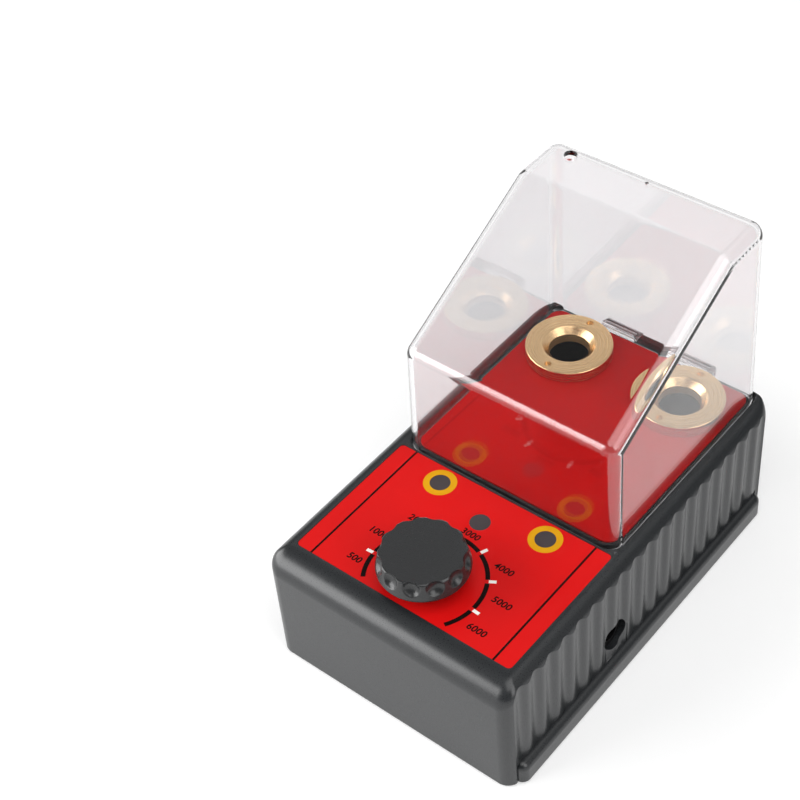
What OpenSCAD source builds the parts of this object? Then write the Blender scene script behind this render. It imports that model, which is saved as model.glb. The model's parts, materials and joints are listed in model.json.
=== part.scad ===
// Spark plug tester: ribbed case with red labels, speed knob, two brass plug sockets and a clear hinged hood.
// Millimetres. +X is right seen from the front, +Y is to the back, +Z is up.
// The origin is on the table, below the middle of the whole object.

/* [Case] */
// Width over the rib crests
body_w = 96; // [94:1:100]
// Depth from the front face to the rear face
body_d = 151; // [150:1:156]
// Height of the housing above its bottom edge
body_h = 47; // [46:1:50]
// Wall thickness of the housing
wall = 2.5; // [2:0.1:2.8]
// Radius of the long top edges
edge_r = 6; // [5:0.5:6]
// Radius of the front top edge
front_r = 9; // [8:0.5:9]
// Radius of the rear top edge
rear_r = 1.5; // [1:0.1:1.7]
// Radius of the upright front corners
corner_r = 5; // [4:0.5:6]
// Radius of the upright rear corners
rear_corner_r = 8; // [5:0.5:8]
// How far the rubber feet stand out below the case
foot_proud = 1; // [0.5:0.1:2]

/* [Ribs and rails] */
// Number of ribs on each side
rib_count = 18; // [14:1:18]
// Distance from rib to rib
rib_pitch = 7.6; // [7:0.1:7.6]
// Depth of the valleys between ribs
rib_depth = 1.2; // [0.8:0.1:1.4]
// Distance of the first rib from the front face
rib_start = 7.1; // [6:0.1:8]
// How far a rail stands out past the rib crests
rail_proud = 2; // [1.5:0.1:2.5]
// Height of a rail
rail_h = 8; // [7:0.5:9]
// Distance of a rail's front end from the front face
rail_start = 4; // [3.5:0.5:5]
// Distance of a rail's rear end from the rear face
rail_stop = 3; // [3:0.5:4]

/* [Labels] */
// Thickness of both labels
label_t = 0.5; // [0.3:0.1:0.6]
// Width of the front label
front_label_w = 84; // [80:0.5:84]
// Distance of the front label from the front face
front_label_start = 9.3; // [9:0.1:10]
// Length of the front label
front_label_len = 53.5; // [52:0.5:54]
// Width of the rear label
rear_label_w = 77.6; // [74:0.2:78]
// Distance of the rear label from the front face
rear_label_start = 67.3; // [67:0.1:68]
// Length of the rear label
rear_label_len = 80; // [76:0.5:80]

/* [Hood] */
// Outside width of the hood at its foot
hood_w = 83; // [82:0.5:83]
// Wall thickness of the hood
hood_wall = 1.8; // [1.5:0.1:2]
// Distance of the hood's front wall from the front face
hood_start = 64.2; // [64:0.1:64.5]
// Height of the hood above the top of the case
hood_h = 74.6; // [65:0.2:80]
// Height of the fold between the front wall and the slope
fold_h = 42.2; // [35:0.2:50]
// Distance of the slope's upper end from the front face
bend_at = 127.7; // [115:0.1:132]
// How far each wall leans in over the hood's height
hood_lean = 1.3; // [0.5:0.1:2]
// Outside radius of the hood's edges
hood_r = 5; // [4:0.1:5]
// Angle to which the hood opens
hood_open = 110; // [90:1:110]

/* [Plug sockets] */
// Distance of each socket from the middle
socket_x = 21.7; // [21:0.1:22.5]
// Distance of the sockets from the front face
socket_at = 130.4; // [129:0.1:131]
// Diameter of the flange
flange_d = 30.4; // [28:0.2:31]
// Thickness of the flange
flange_t = 4.6; // [4:0.1:6]
// Bore that takes the plug's insulator
plug_bore_d = 14; // [13.5:0.1:14.5]
// Diameter of the countersink that seats the plug's shell
countersink_d = 18.5; // [17:0.5:19.5]
// How far a plug pushes its contact down
plunger_travel = 2.5; // [1:0.1:2.5]

/* [Knob and dial] */
// Distance of the knob from the front face
knob_at = 22.1; // [22:0.1:23]
// Diameter of the knob's rim
knob_d = 30; // [29:0.2:31]
// Diameter of the knob's top
knob_top_d = 28; // [27:0.2:29]
// Gap between the label and the underside of the knob's disc
knob_lift = 5.7; // [5:0.1:6]
// Height of the knob's top above the case
knob_h = 12.9; // [12:0.1:15]
// Number of scooped grips
grip_count = 12; // [8:1:14]
// Distance of the high-voltage windows from the middle
window_x = 21; // [20:0.5:22]
// Distance of the high-voltage windows from the front face
window_at = 56.4; // [55:0.1:57]
// Distance of the power window from the front face
power_at = 50.2; // [49:0.1:51]
// Diameter of the high-voltage windows
window_d = 6.9; // [6:0.1:7]

/* [Inlet] */
// Distance of the inlet hole from the front face
inlet_at = 57.2; // [56:0.1:58]
// Height of the inlet hole above the housing's bottom edge
inlet_h = 17.5; // [17:0.1:18]
// Diameter of the inlet hole
inlet_d = 11; // [10:0.1:11.5]
// Diameter of the inlet's centre pin
inlet_pin_d = 2.1; // [2.1, 2.5]

/* [Hidden] */
$fn = 48;
eps = 0.01;
gap = 0.3;
overlap = 0.2;

// Colours
case_grey = [0.23, 0.24, 0.25];
label_red = [0.80, 0.10, 0.10];
clear_tint = [0.90, 0.89, 0.92, 0.35];
brass = [0.80, 0.66, 0.42];
steel = [0.72, 0.73, 0.75];
aluminium = [0.78, 0.79, 0.80];
knob_grey = [0.21, 0.21, 0.22];
rubber_black = [0.10, 0.10, 0.10];
potting_black = [0.12, 0.12, 0.13];
board_green = [0.12, 0.38, 0.20];
phenolic = [0.10, 0.08, 0.07];
lens_smoke = [0.25, 0.24, 0.26];
lead_red = [0.70, 0.12, 0.10];

// Case
z0 = foot_proud;
top_z = z0 + body_h;
hinge_r = 2.5;
hinge_wall_gap = 0.5;
hinge_reach = hinge_wall_gap + 2 * hinge_r;
front_y = -(body_d + hinge_reach) / 2;
rear_y = front_y + body_d;
valley_x = body_w / 2 - rib_depth;
rib_r = (pow(rib_pitch / 2, 2) + pow(rib_depth, 2)) / (2 * rib_depth);
cavity_w = 2 * (valley_x - wall);
ceiling_z = top_z - wall;
floor_t = 2.5;
floor_z = z0 + floor_t;
lap_x = valley_x - 0.4;
wing_t = 2.7;
rail_x = body_w / 2 + rail_proud;
rail_end = body_d - rail_stop;
function from_front(d) = front_y + d;

// Labels
label_sink = 0.6;
label_top = top_z - label_sink + label_t;
label_r = 1.5;
rear_label_r = 4;

// Hood
hood_end = body_d - 1;
groove_floor = top_z - 2;
hood_foot = groove_floor + gap;
platform_x = hood_w / 2 - hood_wall - gap;
platform_r = 4;
vent_d = 4.5;
vent_x = 29.6;
vent_at = 142.6;
latch_w = 10;
latch_depth = 4;
latch_t = 1.4;
latch_hook = 0.25;
hinge_y = rear_y + hinge_wall_gap + hinge_r;
hinge_z = top_z - 4;
lug_half = 7;
ear_gap = 0.3;
ear_end = 20.7;
pin_d = 2;
pin_play = 0.05;

// Sockets and contacts
spigot_d = 21;
spigot_end = top_z - 9;
strap_t = 0.5;
nut_t = 3.5;
nut_flats = 27;
well_d = 25;
sleeve_d = 17;
sleeve_top = label_top - 1;
well_bore_d = 15.6;
well_top = ceiling_z - strap_t - nut_t - 0.2;
well_floor_z = floor_z + 4.3;
well_floor_t = 1.5;
stem_d = 5;
groove_d = 4.4;
clip_t = 0.6;
clip_drop = 0.2;
clip_d = 8;
tag_t = 0.5;
tag_z = well_floor_z + well_floor_t;
spring_len = 7;
spring_turns = 4;
spring_wire = 0.8;
spring_mean_r = 4.2;
head_z = tag_z + tag_t + spring_len;
head_d = 9;
head_t = 2.5;
head_edge = 0.6;
tag_reach = 15.5;
tag_w = 4;
spanner_r = 12.6;
spanner_d = 2.5;
spanner_depth = 2.5;
flange_edge = 0.4;

// Coils
coil_w = 32;
coil_d = 30;
coil_h = 30;
coil_x = 19;
coil_at = 75;
hv_lead_d = 3;

// Board and what stands on it
board_t = 1.6;
board_z = ceiling_z - 8;
board_w = 66;
board_start = 8;
board_len = 56;
board_post_x = 28;
board_post_at = [12, 60];
board_post_d = 6;
board_post_hole = 7;
board_screw_d = 2.2;
pot_d = 16.5;
bush_d = 6.9;
bush_top = label_top + 3.2;
shaft_d = 6;
shaft_play = 0.05;
shaft_foot = board_z + 2;
shaft_top = top_z + knob_h - 3;
pot_nut_flats = 10;
pot_nut_t = 2;
knob_foot = label_top + 0.7;
knob_under = label_top + knob_lift;
rim_h = 1.2;
top_chamfer = 0.5;
grip_r = 3.8;
grip_out = knob_top_d / 2 + 2.2;
grip_drop = 1.9;
grip_turn = -6;
hub_d = 20;
nut_recess_d = 15;
lamp_d = 5;
lamp_hole_d = 5.6;
wire_d = 1.6;
board_screw_len = 6.5;
board_screw_head = [4.2, 1.6];
chip_size = [9.4, 6.4, 3.4];
chip_place = [7, 42];
chip_mark_d = 2;
capacitor_d = 10;
capacitor_h = 16;
capacitor_place = [-22, 46];
capacitor_crimp = [12, 1, 9];
sink_w = 44;
sink_at = 31;
sink_t = 2;
sink_h = 20;
fin_count = 9;
fin_t = 1.2;
fin_reach = 5;
transistor_x = 11;
transistor_tab = [10, 1.3, 15];
transistor_body = [10, 3.2, 9];
transistor_legs = [2.5, 5, 7.5];
transistor_leg = [0.8, 0.6];

// Case screws and feet
boss_x = 38.5;
boss_at = [9.5, body_d - 9.5];
boss_d = 7.6;
screw_d = 2.8;
screw_hole_d = 3.4;
screw_head_d = 5.6;
screw_head_t = 2;
screw_pad_t = 2;
screw_sink = 2.5;
screw_len = 14;
foot_x = 36;
foot_at = [22, body_d - 24];
foot_d = 10;
foot_sink = 1;
foot_edge = 0.5;

// Inlet
inlet_z = z0 + inlet_h;
tongue_w = 12.6;
inlet_body_w = 12;
inlet_body_x = [valley_x - wall - 14.3, valley_x - wall - 0.3];
inlet_mouth_d = 6.4;
inlet_depth = 9.5;
inlet_nose_d = 10.4;
inlet_nose = 1;
pin_len = 9;

// Outlines

// A rectangle with round corners, centred in X and starting at Y = 0
module rounded_rect(w, d, r) {
    translate([-w / 2, r])
        square([w, d - 2 * r]);
    translate([-w / 2 + r, 0])
        square([w - 2 * r, d]);
    for (side = [-1, 1], y = [r, d - r])
        translate([side * (w / 2 - r), y])
            circle(r);
}

// A rectangle with one corner radius at the front and another at the rear, centred in X and starting at Y = 0
module case_rect(w, d, front, rear) {
    translate([-w / 2, front])
        square([w, d - front - rear]);
    translate([-w / 2 + front, 0])
        square([w - 2 * front, d / 2]);
    translate([-w / 2 + rear, d / 2])
        square([w - 2 * rear, d / 2]);
    for (side = [-1, 1]) {
        translate([side * (w / 2 - front), front])
            circle(front);
        translate([side * (w / 2 - rear), d - rear])
            circle(rear);
    }
}

// A rectangle with round upper corners, centred in X
module round_top(w, h, r) {
    translate([-w / 2, 0])
        square([w, h - r]);
    translate([-w / 2 + r, 0])
        square([w - 2 * r, h]);
    for (side = [-1, 1])
        translate([side * (w / 2 - r), h - r])
            circle(r);
}

// The case seen from the side: a large round at the front and a small one at the rear
module side_outline(d, h, front, rear) {
    square([d, h - front]);
    translate([front, 0])
        square([d - front, h - rear]);
    translate([front, 0])
        square([d - front - rear, h]);
    translate([front, h - front])
        circle(front);
    translate([d - rear, h - rear])
        circle(rear);
}

// The case seen from above, with a row of round ribs along each side
module plan_outline() {
    difference() {
        case_rect(body_w, body_d, corner_r, rear_corner_r);
        for (side = [-1, 1])
            translate([side * (valley_x + 1) - 2, rib_start])
                square([4, rib_count * rib_pitch]);
    }
    for (side = [-1, 1], i = [0 : rib_count - 1])
        translate([side * (body_w / 2 - rib_r), rib_start + (i + 0.5) * rib_pitch])
            circle(rib_r);
}

// Extrudes an outline drawn in X and Z from y to y + len
module along_y(y, len) {
    translate([0, y + len, 0])
        rotate([90, 0, 0])
            linear_extrude(len)
                children();
}

// Extrudes an outline drawn in Y and Z from x to x + len
module along_x(x, len) {
    translate([x, 0, 0])
        rotate([90, 0, 90])
            linear_extrude(len)
                children();
}

// A round bar along X from x to x + len
module bar_x(x, len, d) {
    translate([x, 0, 0])
        rotate([0, 90, 0])
            cylinder(h = len, d = d);
}

// A lead of straight runs between points, each run along one axis, with round corners
module lead(points, d) {
    for (i = [0 : len(points) - 2]) {
        a = points[i];
        b = points[i + 1];
        run = b - a;
        length = norm(run);
        translate(a)
            rotate(run.x != 0 ? [0, run.x > 0 ? 90 : -90, 0]
                : run.y != 0 ? [run.y > 0 ? -90 : 90, 0, 0]
                : [run.z > 0 ? 0 : 180, 0, 0])
                cylinder(h = length, d = d);
        if (i > 0)
            translate(a)
                sphere(d = d);
    }
}

// Case

module housing_block() {
    intersection() {
        translate([0, front_y, z0])
            linear_extrude(body_h)
                plan_outline();
        translate([0, 0, z0])
            along_y(front_y - 1, body_d + 2)
                round_top(body_w, body_h, edge_r);
        translate([0, front_y, z0])
            along_x(-body_w / 2 - 1, body_w + 2)
                side_outline(body_d, body_h, front_r, rear_r);
    }
}

module housing_cavity() {
    inner_d = body_d - 2 * wall;
    inner_h = body_h - wall + 1;
    intersection() {
        translate([0, 0, z0 - 1])
            along_y(front_y + wall, inner_d)
                round_top(cavity_w, inner_h, edge_r - wall);
        translate([0, front_y + wall, z0 - 1])
            along_x(-cavity_w / 2 - 1, cavity_w + 2)
                side_outline(inner_d, inner_h, front_r - wall, rear_r);
    }
}

// The sunk seats of both labels and the groove for the hood's foot
module top_recesses() {
    translate([0, from_front(front_label_start - 0.1), top_z - label_sink])
        linear_extrude(label_sink + 1)
            rounded_rect(front_label_w + 0.2, front_label_len + 0.2, label_r);
    outer_x = hood_w / 2 + gap;
    outer_start = hood_start - gap;
    translate([0, from_front(outer_start), top_z - label_sink])
        linear_extrude(label_sink + 1)
            rounded_rect(2 * outer_x, body_d, hood_r + gap);
    inner_start = hood_start + hood_wall + gap;
    inner_end = hood_end - hood_wall - gap;
    difference() {
        translate([0, from_front(outer_start), groove_floor])
            linear_extrude(3)
                rounded_rect(2 * outer_x, body_d, hood_r + gap);
        translate([0, from_front(inner_start), groove_floor - 1])
            linear_extrude(5)
                rounded_rect(2 * platform_x, inner_end - inner_start, platform_r);
    }
}

module top_holes() {
    through = wall + 2;
    z = ceiling_z - 1;
    translate([0, from_front(knob_at), z])
        cylinder(h = through, d = bush_d + 0.3);
    for (side = [-1, 1]) {
        translate([side * window_x, from_front(window_at), z])
            cylinder(h = through, d = lamp_hole_d);
        translate([side * socket_x, from_front(socket_at), z])
            cylinder(h = through, d = spigot_d + 0.3);
    }
    translate([0, from_front(power_at), z])
        cylinder(h = through, d = lamp_hole_d);
    translate([-latch_w / 2 - gap, from_front(hood_start), z])
        cube([latch_w + 2 * gap, latch_t + 2 * gap, through]);
}

// Room for the base cover's rails, wings and tongue in the side walls
module side_recesses() {
    start = from_front(rail_start) - 0.1;
    run = rail_end - rail_start + 0.2;
    for (side = [-1, 1]) {
        translate([side * (lap_x + 2) - 2, start, z0 - 1])
            cube([4, run, rail_h + 1]);
        translate([side * (lap_x - 1) - 4, start, z0 - 1])
            cube([8, run, wing_t + 1 + 0.1]);
    }
    translate([cavity_w / 2 - 1, from_front(inlet_at - tongue_w / 2 - 0.1), z0 - 1])
        cube([wall + rib_depth + 3, tongue_w + 0.2, inlet_h + 1]);
    translate([0, from_front(inlet_at), inlet_z])
        bar_x(cavity_w / 2 - 1, wall + rib_depth + 3, inlet_d);
}

module housing_bosses() {
    boss_foot = floor_z + screw_pad_t;
    for (side = [-1, 1], at = boss_at)
        translate([side * boss_x, from_front(at), boss_foot])
            cylinder(h = ceiling_z - boss_foot + overlap, d = boss_d);
    for (side = [-1, 1], at = board_post_at)
        translate([side * board_post_x, from_front(at), board_z])
            cylinder(h = ceiling_z - board_z + overlap, d = board_post_d);
}

module boss_holes() {
    for (side = [-1, 1], at = boss_at)
        translate([side * boss_x, from_front(at), floor_z])
            cylinder(h = screw_pad_t + screw_len, d = screw_d);
    for (side = [-1, 1], at = board_post_at)
        translate([side * board_post_x, from_front(at), board_z - 1])
            cylinder(h = board_post_hole, d = board_screw_d);
}

module hinge_lug() {
    translate([0, hinge_y, hinge_z])
        bar_x(-lug_half, 2 * lug_half, 2 * hinge_r);
    translate([-lug_half, rear_y - 0.5, hinge_z - hinge_r])
        cube([2 * lug_half, hinge_y - rear_y + 0.5, 2 * hinge_r - 1]);
}

module housing_top() {
    color(case_grey)
        difference() {
            union() {
                difference() {
                    housing_block();
                    housing_cavity();
                    top_recesses();
                    side_recesses();
                }
                housing_bosses();
                hinge_lug();
            }
            top_holes();
            boss_holes();
            translate([0, hinge_y, hinge_z])
                bar_x(-lug_half - 1, 2 * lug_half + 2, pin_d);
        }
}

// One rail and its wing under the side wall, on the right
module rail_outline() {
    round_r = rail_x - lap_x - 0.1;
    translate([cavity_w / 2 - 0.4, z0])
        square([rail_x - cavity_w / 2 + 0.4, wing_t]);
    translate([rail_x - round_r, z0])
        square([round_r, rail_h - round_r]);
    intersection() {
        translate([rail_x - round_r, z0 + rail_h - round_r])
            circle(round_r);
        translate([rail_x - round_r, z0])
            square([round_r, rail_h]);
    }
}

module rails() {
    intersection() {
        along_y(from_front(rail_start), rail_end - rail_start)
            for (side = [0, 1])
                mirror([side, 0])
                    rail_outline();
        translate([0, from_front(rail_start), z0])
            linear_extrude(rail_h)
                rounded_rect(2 * rail_x, rail_end - rail_start, 2.5);
    }
}

module inlet_tongue() {
    depth = wall + rib_depth / 2;
    difference() {
        translate([cavity_w / 2, from_front(inlet_at - tongue_w / 2), z0])
            cube([depth, tongue_w, inlet_h - 0.1]);
        translate([0, from_front(inlet_at), inlet_z])
            bar_x(cavity_w / 2 - 1, depth + 2, inlet_d);
    }
}

// A seat and two cheeks that hold the inlet's body
module inlet_cradle() {
    x = inlet_body_x[0] + 1;
    len = inlet_body_x[1] - inlet_body_x[0] - 2;
    seat_h = inlet_z - inlet_body_w / 2 - floor_z;
    cheek = 1.8;
    translate([x, from_front(inlet_at - inlet_body_w / 2 - cheek), floor_z - eps])
        cube([len, inlet_body_w + 2 * cheek, seat_h + eps]);
    for (side = [-1, 1])
        translate([x, from_front(inlet_at) + side * (inlet_body_w + cheek) / 2 - cheek / 2, floor_z - eps])
            cube([len, cheek, seat_h + inlet_body_w / 2]);
}

// Low walls round each coil's foot
module coil_cradles() {
    cheek = 1.6;
    height = 5;
    play = 0.2;
    for (side = [-1, 1])
        translate([side * coil_x, from_front(coil_at), floor_z - eps])
            difference() {
                translate([-coil_w / 2 - cheek - play, -cheek - play, 0])
                    cube([coil_w + 2 * (cheek + play), coil_d + 2 * (cheek + play), height]);
                translate([-coil_w / 2 - play, -play, eps])
                    cube([coil_w + 2 * play, coil_d + 2 * play, height]);
                translate([-coil_w, cheek, eps])
                    cube([2 * coil_w, coil_d - 2 * cheek, height]);
            }
}

module base_cover() {
    plate_start = wall + gap;
    color(case_grey)
        difference() {
            union() {
                translate([-cavity_w / 2 + gap, from_front(plate_start), z0])
                    cube([cavity_w - 2 * gap, body_d - 2 * plate_start, floor_t]);
                rails();
                inlet_tongue();
                inlet_cradle();
                coil_cradles();
                for (side = [-1, 1], at = boss_at)
                    translate([side * boss_x, from_front(at), z0])
                        cylinder(h = floor_t + screw_pad_t, d = boss_d + 1);
            }
            for (side = [-1, 1], at = boss_at)
                translate([side * boss_x, from_front(at), z0 - 1]) {
                    cylinder(h = floor_t + screw_pad_t + 2, d = screw_hole_d);
                    cylinder(h = screw_sink + 1, d = screw_head_d + 0.6);
                }
            for (side = [-1, 1], at = foot_at)
                translate([side * foot_x, from_front(at), z0 - 1])
                    cylinder(h = foot_sink + 1, d = foot_d + 0.3);
        }
}

module rubber_feet() {
    color(rubber_black)
        for (side = [-1, 1], at = foot_at)
            translate([side * foot_x, from_front(at), 0]) {
                cylinder(h = foot_edge, d1 = foot_d - 2 * foot_edge, d2 = foot_d);
                translate([0, 0, foot_edge])
                    cylinder(h = foot_proud + foot_sink - foot_edge, d = foot_d);
            }
}

// A pan-head screw pointing up from z = 0 under its head, with a cross recess
module pan_screw(head_d, head_t, shank_d, length) {
    slot = shank_d / 3;
    difference() {
        union() {
            translate([0, 0, -head_t])
                cylinder(h = head_t, d1 = head_d * 0.8, d2 = head_d);
            translate([0, 0, -eps])
                cylinder(h = length, d = shank_d);
        }
        for (turn = [0, 90])
            rotate(turn)
                translate([-head_d * 0.28, -slot / 2, -head_t - 1])
                    cube([head_d * 0.56, slot, head_t * 0.6 + 1]);
    }
}

module base_screws() {
    color(steel)
        for (side = [-1, 1], at = boss_at)
            translate([side * boss_x, from_front(at), z0 + screw_sink])
                pan_screw(screw_head_d, screw_head_t, screw_d, screw_len);
}

// Labels

module front_label() {
    color(label_red)
        translate([0, 0, top_z - label_sink])
            difference() {
                translate([0, from_front(front_label_start), 0])
                    linear_extrude(label_t)
                        rounded_rect(front_label_w, front_label_len, label_r);
                translate([0, from_front(knob_at), -1])
                    cylinder(h = label_t + 2, d = bush_d + 0.3);
                for (side = [-1, 1])
                    translate([side * window_x, from_front(window_at), -1])
                        cylinder(h = label_t + 2, d = window_d);
                translate([0, from_front(power_at), -1])
                    cylinder(h = label_t + 2, d = window_d);
            }
}

module rear_label() {
    color(label_red)
        translate([0, 0, top_z - label_sink])
            difference() {
                translate([0, from_front(rear_label_start), 0])
                    linear_extrude(label_t)
                        rounded_rect(rear_label_w, rear_label_len, rear_label_r);
                for (side = [-1, 1])
                    translate([side * socket_x, from_front(socket_at), -1])
                        cylinder(h = label_t + 2, d = spigot_d + 0.3);
            }
}

// Hood

// Corners of the hood's side seen in Y and Z, from the front foot over the top to the rear foot
hood_corners = [
    [hood_start, hood_foot],
    [hood_start + hood_lean * fold_h / hood_h, top_z + fold_h],
    [bend_at, top_z + hood_h],
    [hood_end - hood_lean, top_z + hood_h],
    [hood_end, hood_foot]
];

// The middle of the round in the corner b between a and c
function round_middle(a, b, c, r) =
    let (u = (a - b) / norm(a - b), v = (c - b) / norm(c - b), way = (u + v) / norm(u + v))
    b + way * r / sin(acos(u * v) / 2);

// The hood's solid form: every edge is a round of r about the same middles
module hood_form(r, foot) {
    last = len(hood_corners) - 1;
    hull()
        for (side = [-1, 1], i = [0 : last]) {
            at_foot = i == 0 || i == last;
            middle = at_foot
                ? hood_corners[i] + [i == 0 ? hood_r : -hood_r, 0]
                : round_middle(hood_corners[i - 1], hood_corners[i], hood_corners[i + 1], hood_r);
            lean = hood_lean * (middle[1] - hood_foot) / hood_h;
            x = side * (hood_w / 2 - lean - hood_r);
            if (at_foot)
                translate([x, from_front(middle[0]), foot])
                    cylinder(h = 1, r = r, $fn = 24);
            else
                translate([x, from_front(middle[0]), middle[1]])
                    sphere(r = r, $fn = 24);
        }
}

// An ear that carries the hood on its pin, seen in Y and Z about the hinge's axis
module ear_outline() {
    wall_y = from_front(hood_end) - hinge_y;
    root_y = wall_y - hood_wall + 0.4;
    foot = hood_foot - hinge_z;
    root_top = foot + 3.4;
    shoulder = [0.5, foot + 1.6];
    brow = [hinge_r - 0.6, 2.2];
    heel = hinge_r + hinge_wall_gap - 0.05;
    heel_t = 1.5;
    circle(hinge_r);
    polygon([
        [root_y, foot], [-hinge_r + 0.1, foot], [-hinge_r, 0], [hinge_r, 0],
        brow, shoulder, [wall_y, root_top], [root_y, root_top]
    ]);
    // The heel meets the rear wall when the hood is fully open
    rotate(hood_open)
        translate([-heel, -heel_t])
            square([heel, heel_t]);
}

module hood_ears() {
    ear_w = ear_end - lug_half - ear_gap;
    for (x = [-ear_end, lug_half + ear_gap])
        translate([0, hinge_y, hinge_z])
            difference() {
                along_x(x, ear_w)
                    ear_outline();
                bar_x(x - 1, ear_w + 2, pin_d + 2 * pin_play);
            }
}

module hood_latch() {
    translate([-latch_w / 2, from_front(hood_start + gap), hood_foot - latch_depth])
        cube([latch_w, latch_t, latch_depth + 1]);
    translate([-latch_w / 2, from_front(hood_start + gap - latch_hook), hood_foot - latch_depth])
        cube([latch_w, latch_hook + 0.5, 1]);
}

module clear_hood() {
    color(clear_tint) {
        difference() {
            hood_form(hood_r, hood_foot);
            hood_form(hood_r - hood_wall, hood_foot - 1);
            translate([-vent_x, from_front(vent_at), top_z + hood_h - hood_wall - 2])
                cylinder(h = hood_wall + 4, d = vent_d);
        }
        hood_ears();
        hood_latch();
    }
}

module hinge_pin() {
    color(steel)
        translate([0, hinge_y, hinge_z])
            bar_x(-ear_end - 0.2, 2 * ear_end + 0.4, pin_d);
}

// Sockets, wells and contacts

module plug_socket() {
    cone = (countersink_d - plug_bore_d) / 2;
    flange_top = label_top + flange_t;
    color(brass)
        difference() {
            union() {
                translate([0, 0, label_top])
                    cylinder(h = flange_t - flange_edge, d = flange_d);
                translate([0, 0, flange_top - flange_edge])
                    cylinder(h = flange_edge, d1 = flange_d, d2 = flange_d - 2 * flange_edge);
                translate([0, 0, spigot_end])
                    cylinder(h = label_top - spigot_end + eps, d = spigot_d);
            }
            translate([0, 0, spigot_end])
                cylinder(h = flange_top - spigot_end + 1, d = plug_bore_d);
            translate([0, 0, spigot_end - 1])
                cylinder(h = sleeve_top - spigot_end + 1, d = sleeve_d + 0.2);
            translate([0, 0, flange_top - cone])
                cylinder(h = cone, d1 = plug_bore_d, d2 = countersink_d);
            for (side = [-1, 1])
                translate([0, side * spanner_r, flange_top - spanner_depth])
                    cylinder(h = spanner_depth + 1, d = spanner_d);
        }
}

module socket_nut() {
    color(brass)
        translate([0, 0, ceiling_z - strap_t - nut_t])
            difference() {
                cylinder(h = nut_t, d = nut_flats / cos(30), $fn = 6);
                translate([0, 0, -1])
                    cylinder(h = nut_t + 2, d = spigot_d);
            }
}

module earth_strap() {
    ring_d = 27;
    bar_w = 8;
    tail = 14;
    color(brass)
        translate([0, from_front(socket_at), ceiling_z - strap_t])
            linear_extrude(strap_t)
                difference() {
                    union() {
                        for (side = [-1, 1])
                            translate([side * socket_x, 0])
                                circle(d = ring_d);
                        translate([-socket_x, -bar_w / 2])
                            square([2 * socket_x, bar_w]);
                        translate([-bar_w / 2, -tail - bar_w / 2])
                            square([bar_w, tail + bar_w / 2]);
                    }
                    for (side = [-1, 1])
                        translate([side * socket_x, 0])
                            circle(d = spigot_d + 0.1);
                }
}

// Insulating tube that takes the plug's insulator. A sleeve lines the socket, and a floor guides the contact.
module plug_well() {
    sleeve_foot = spigot_end - 1;
    color(phenolic)
        difference() {
            union() {
                translate([0, 0, floor_z])
                    cylinder(h = well_top - floor_z, d = well_d);
                translate([0, 0, sleeve_foot])
                    cylinder(h = sleeve_top - 0.1 - sleeve_foot, d = sleeve_d);
            }
            translate([0, 0, tag_z])
                cylinder(h = sleeve_foot - tag_z, d = well_bore_d);
            translate([0, 0, sleeve_foot - eps])
                cylinder(h = well_d, d = plug_bore_d);
            translate([0, 0, spigot_end - 0.1])
                difference() {
                    cylinder(h = nut_t, d = spigot_d + 0.3);
                    translate([0, 0, -1])
                        cylinder(h = nut_t + 2, d = sleeve_d);
                }
            translate([0, 0, floor_z - 1])
                cylinder(h = well_floor_z - floor_z + 1, d = well_bore_d);
            translate([0, 0, well_floor_z - 1])
                cylinder(h = well_floor_t + 2, d = stem_d + 2 * pin_play);
            translate([-tag_w / 2 - 0.2, -well_d, tag_z])
                cube([tag_w + 0.4, well_d, 4]);
        }
}

module contact_plunger() {
    clip_z = well_floor_z - clip_drop - clip_t;
    stem_foot = clip_z - head_edge;
    dimple = [3, 5, 0.8];
    color(brass)
        difference() {
            union() {
                translate([0, 0, stem_foot])
                    cylinder(h = head_z - stem_foot + eps, d = stem_d);
                translate([0, 0, head_z])
                    cylinder(h = head_t - head_edge, d = head_d);
                translate([0, 0, head_z + head_t - head_edge])
                    cylinder(h = head_edge, d1 = head_d, d2 = head_d - 2 * head_edge);
            }
            // Dimple that centres the plug's terminal
            translate([0, 0, head_z + head_t - dimple[2]])
                cylinder(h = dimple[2] + 0.1, d1 = dimple[0], d2 = dimple[1]);
            translate([0, 0, clip_z])
                difference() {
                    cylinder(h = clip_t, d = stem_d + 1);
                    translate([0, 0, -1])
                        cylinder(h = clip_t + 2, d = groove_d);
                }
        }
}

module plunger_clip() {
    color(steel)
        translate([0, 0, well_floor_z - clip_drop - clip_t])
            difference() {
                cylinder(h = clip_t, d = clip_d);
                translate([0, 0, -1])
                    cylinder(h = clip_t + 2, d = groove_d);
                translate([-groove_d * 0.4, 0, -1])
                    cube([groove_d * 0.8, clip_d, clip_t + 2]);
            }
}

// One unbroken coil of wire, swept by a formula
module contact_spring() {
    steps = 16 * spring_turns;
    sides = 6;
    wire_r = spring_wire / 2;
    rise = spring_len - spring_wire - 0.1;
    ring = [for (i = [0 : steps]) [360 * spring_turns * i / steps, wire_r + 0.05 + rise * i / steps]];
    points = [
        for (p = ring, j = [0 : sides - 1])
            let (turn = 360 * j / sides, out = spring_mean_r + wire_r * cos(turn))
            [out * cos(p[0]), out * sin(p[0]), p[1] + wire_r * sin(turn)]
    ];
    quads = [
        for (i = [0 : steps - 1], j = [0 : sides - 1])
            let (k = (j + 1) % sides, a = i * sides, b = a + sides)
            [a + j, b + j, b + k, a + k]
    ];
    faces = concat(
        [for (q = quads) [q[0], q[1], q[2]]], [for (q = quads) [q[0], q[2], q[3]]],
        [for (j = [1 : sides - 2]) [0, j, j + 1]],
        [for (j = [1 : sides - 2]) [steps * sides, steps * sides + j + 1, steps * sides + j]]
    );
    color(steel)
        translate([0, 0, tag_z + tag_t])
            polyhedron(points, faces);
}

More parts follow.
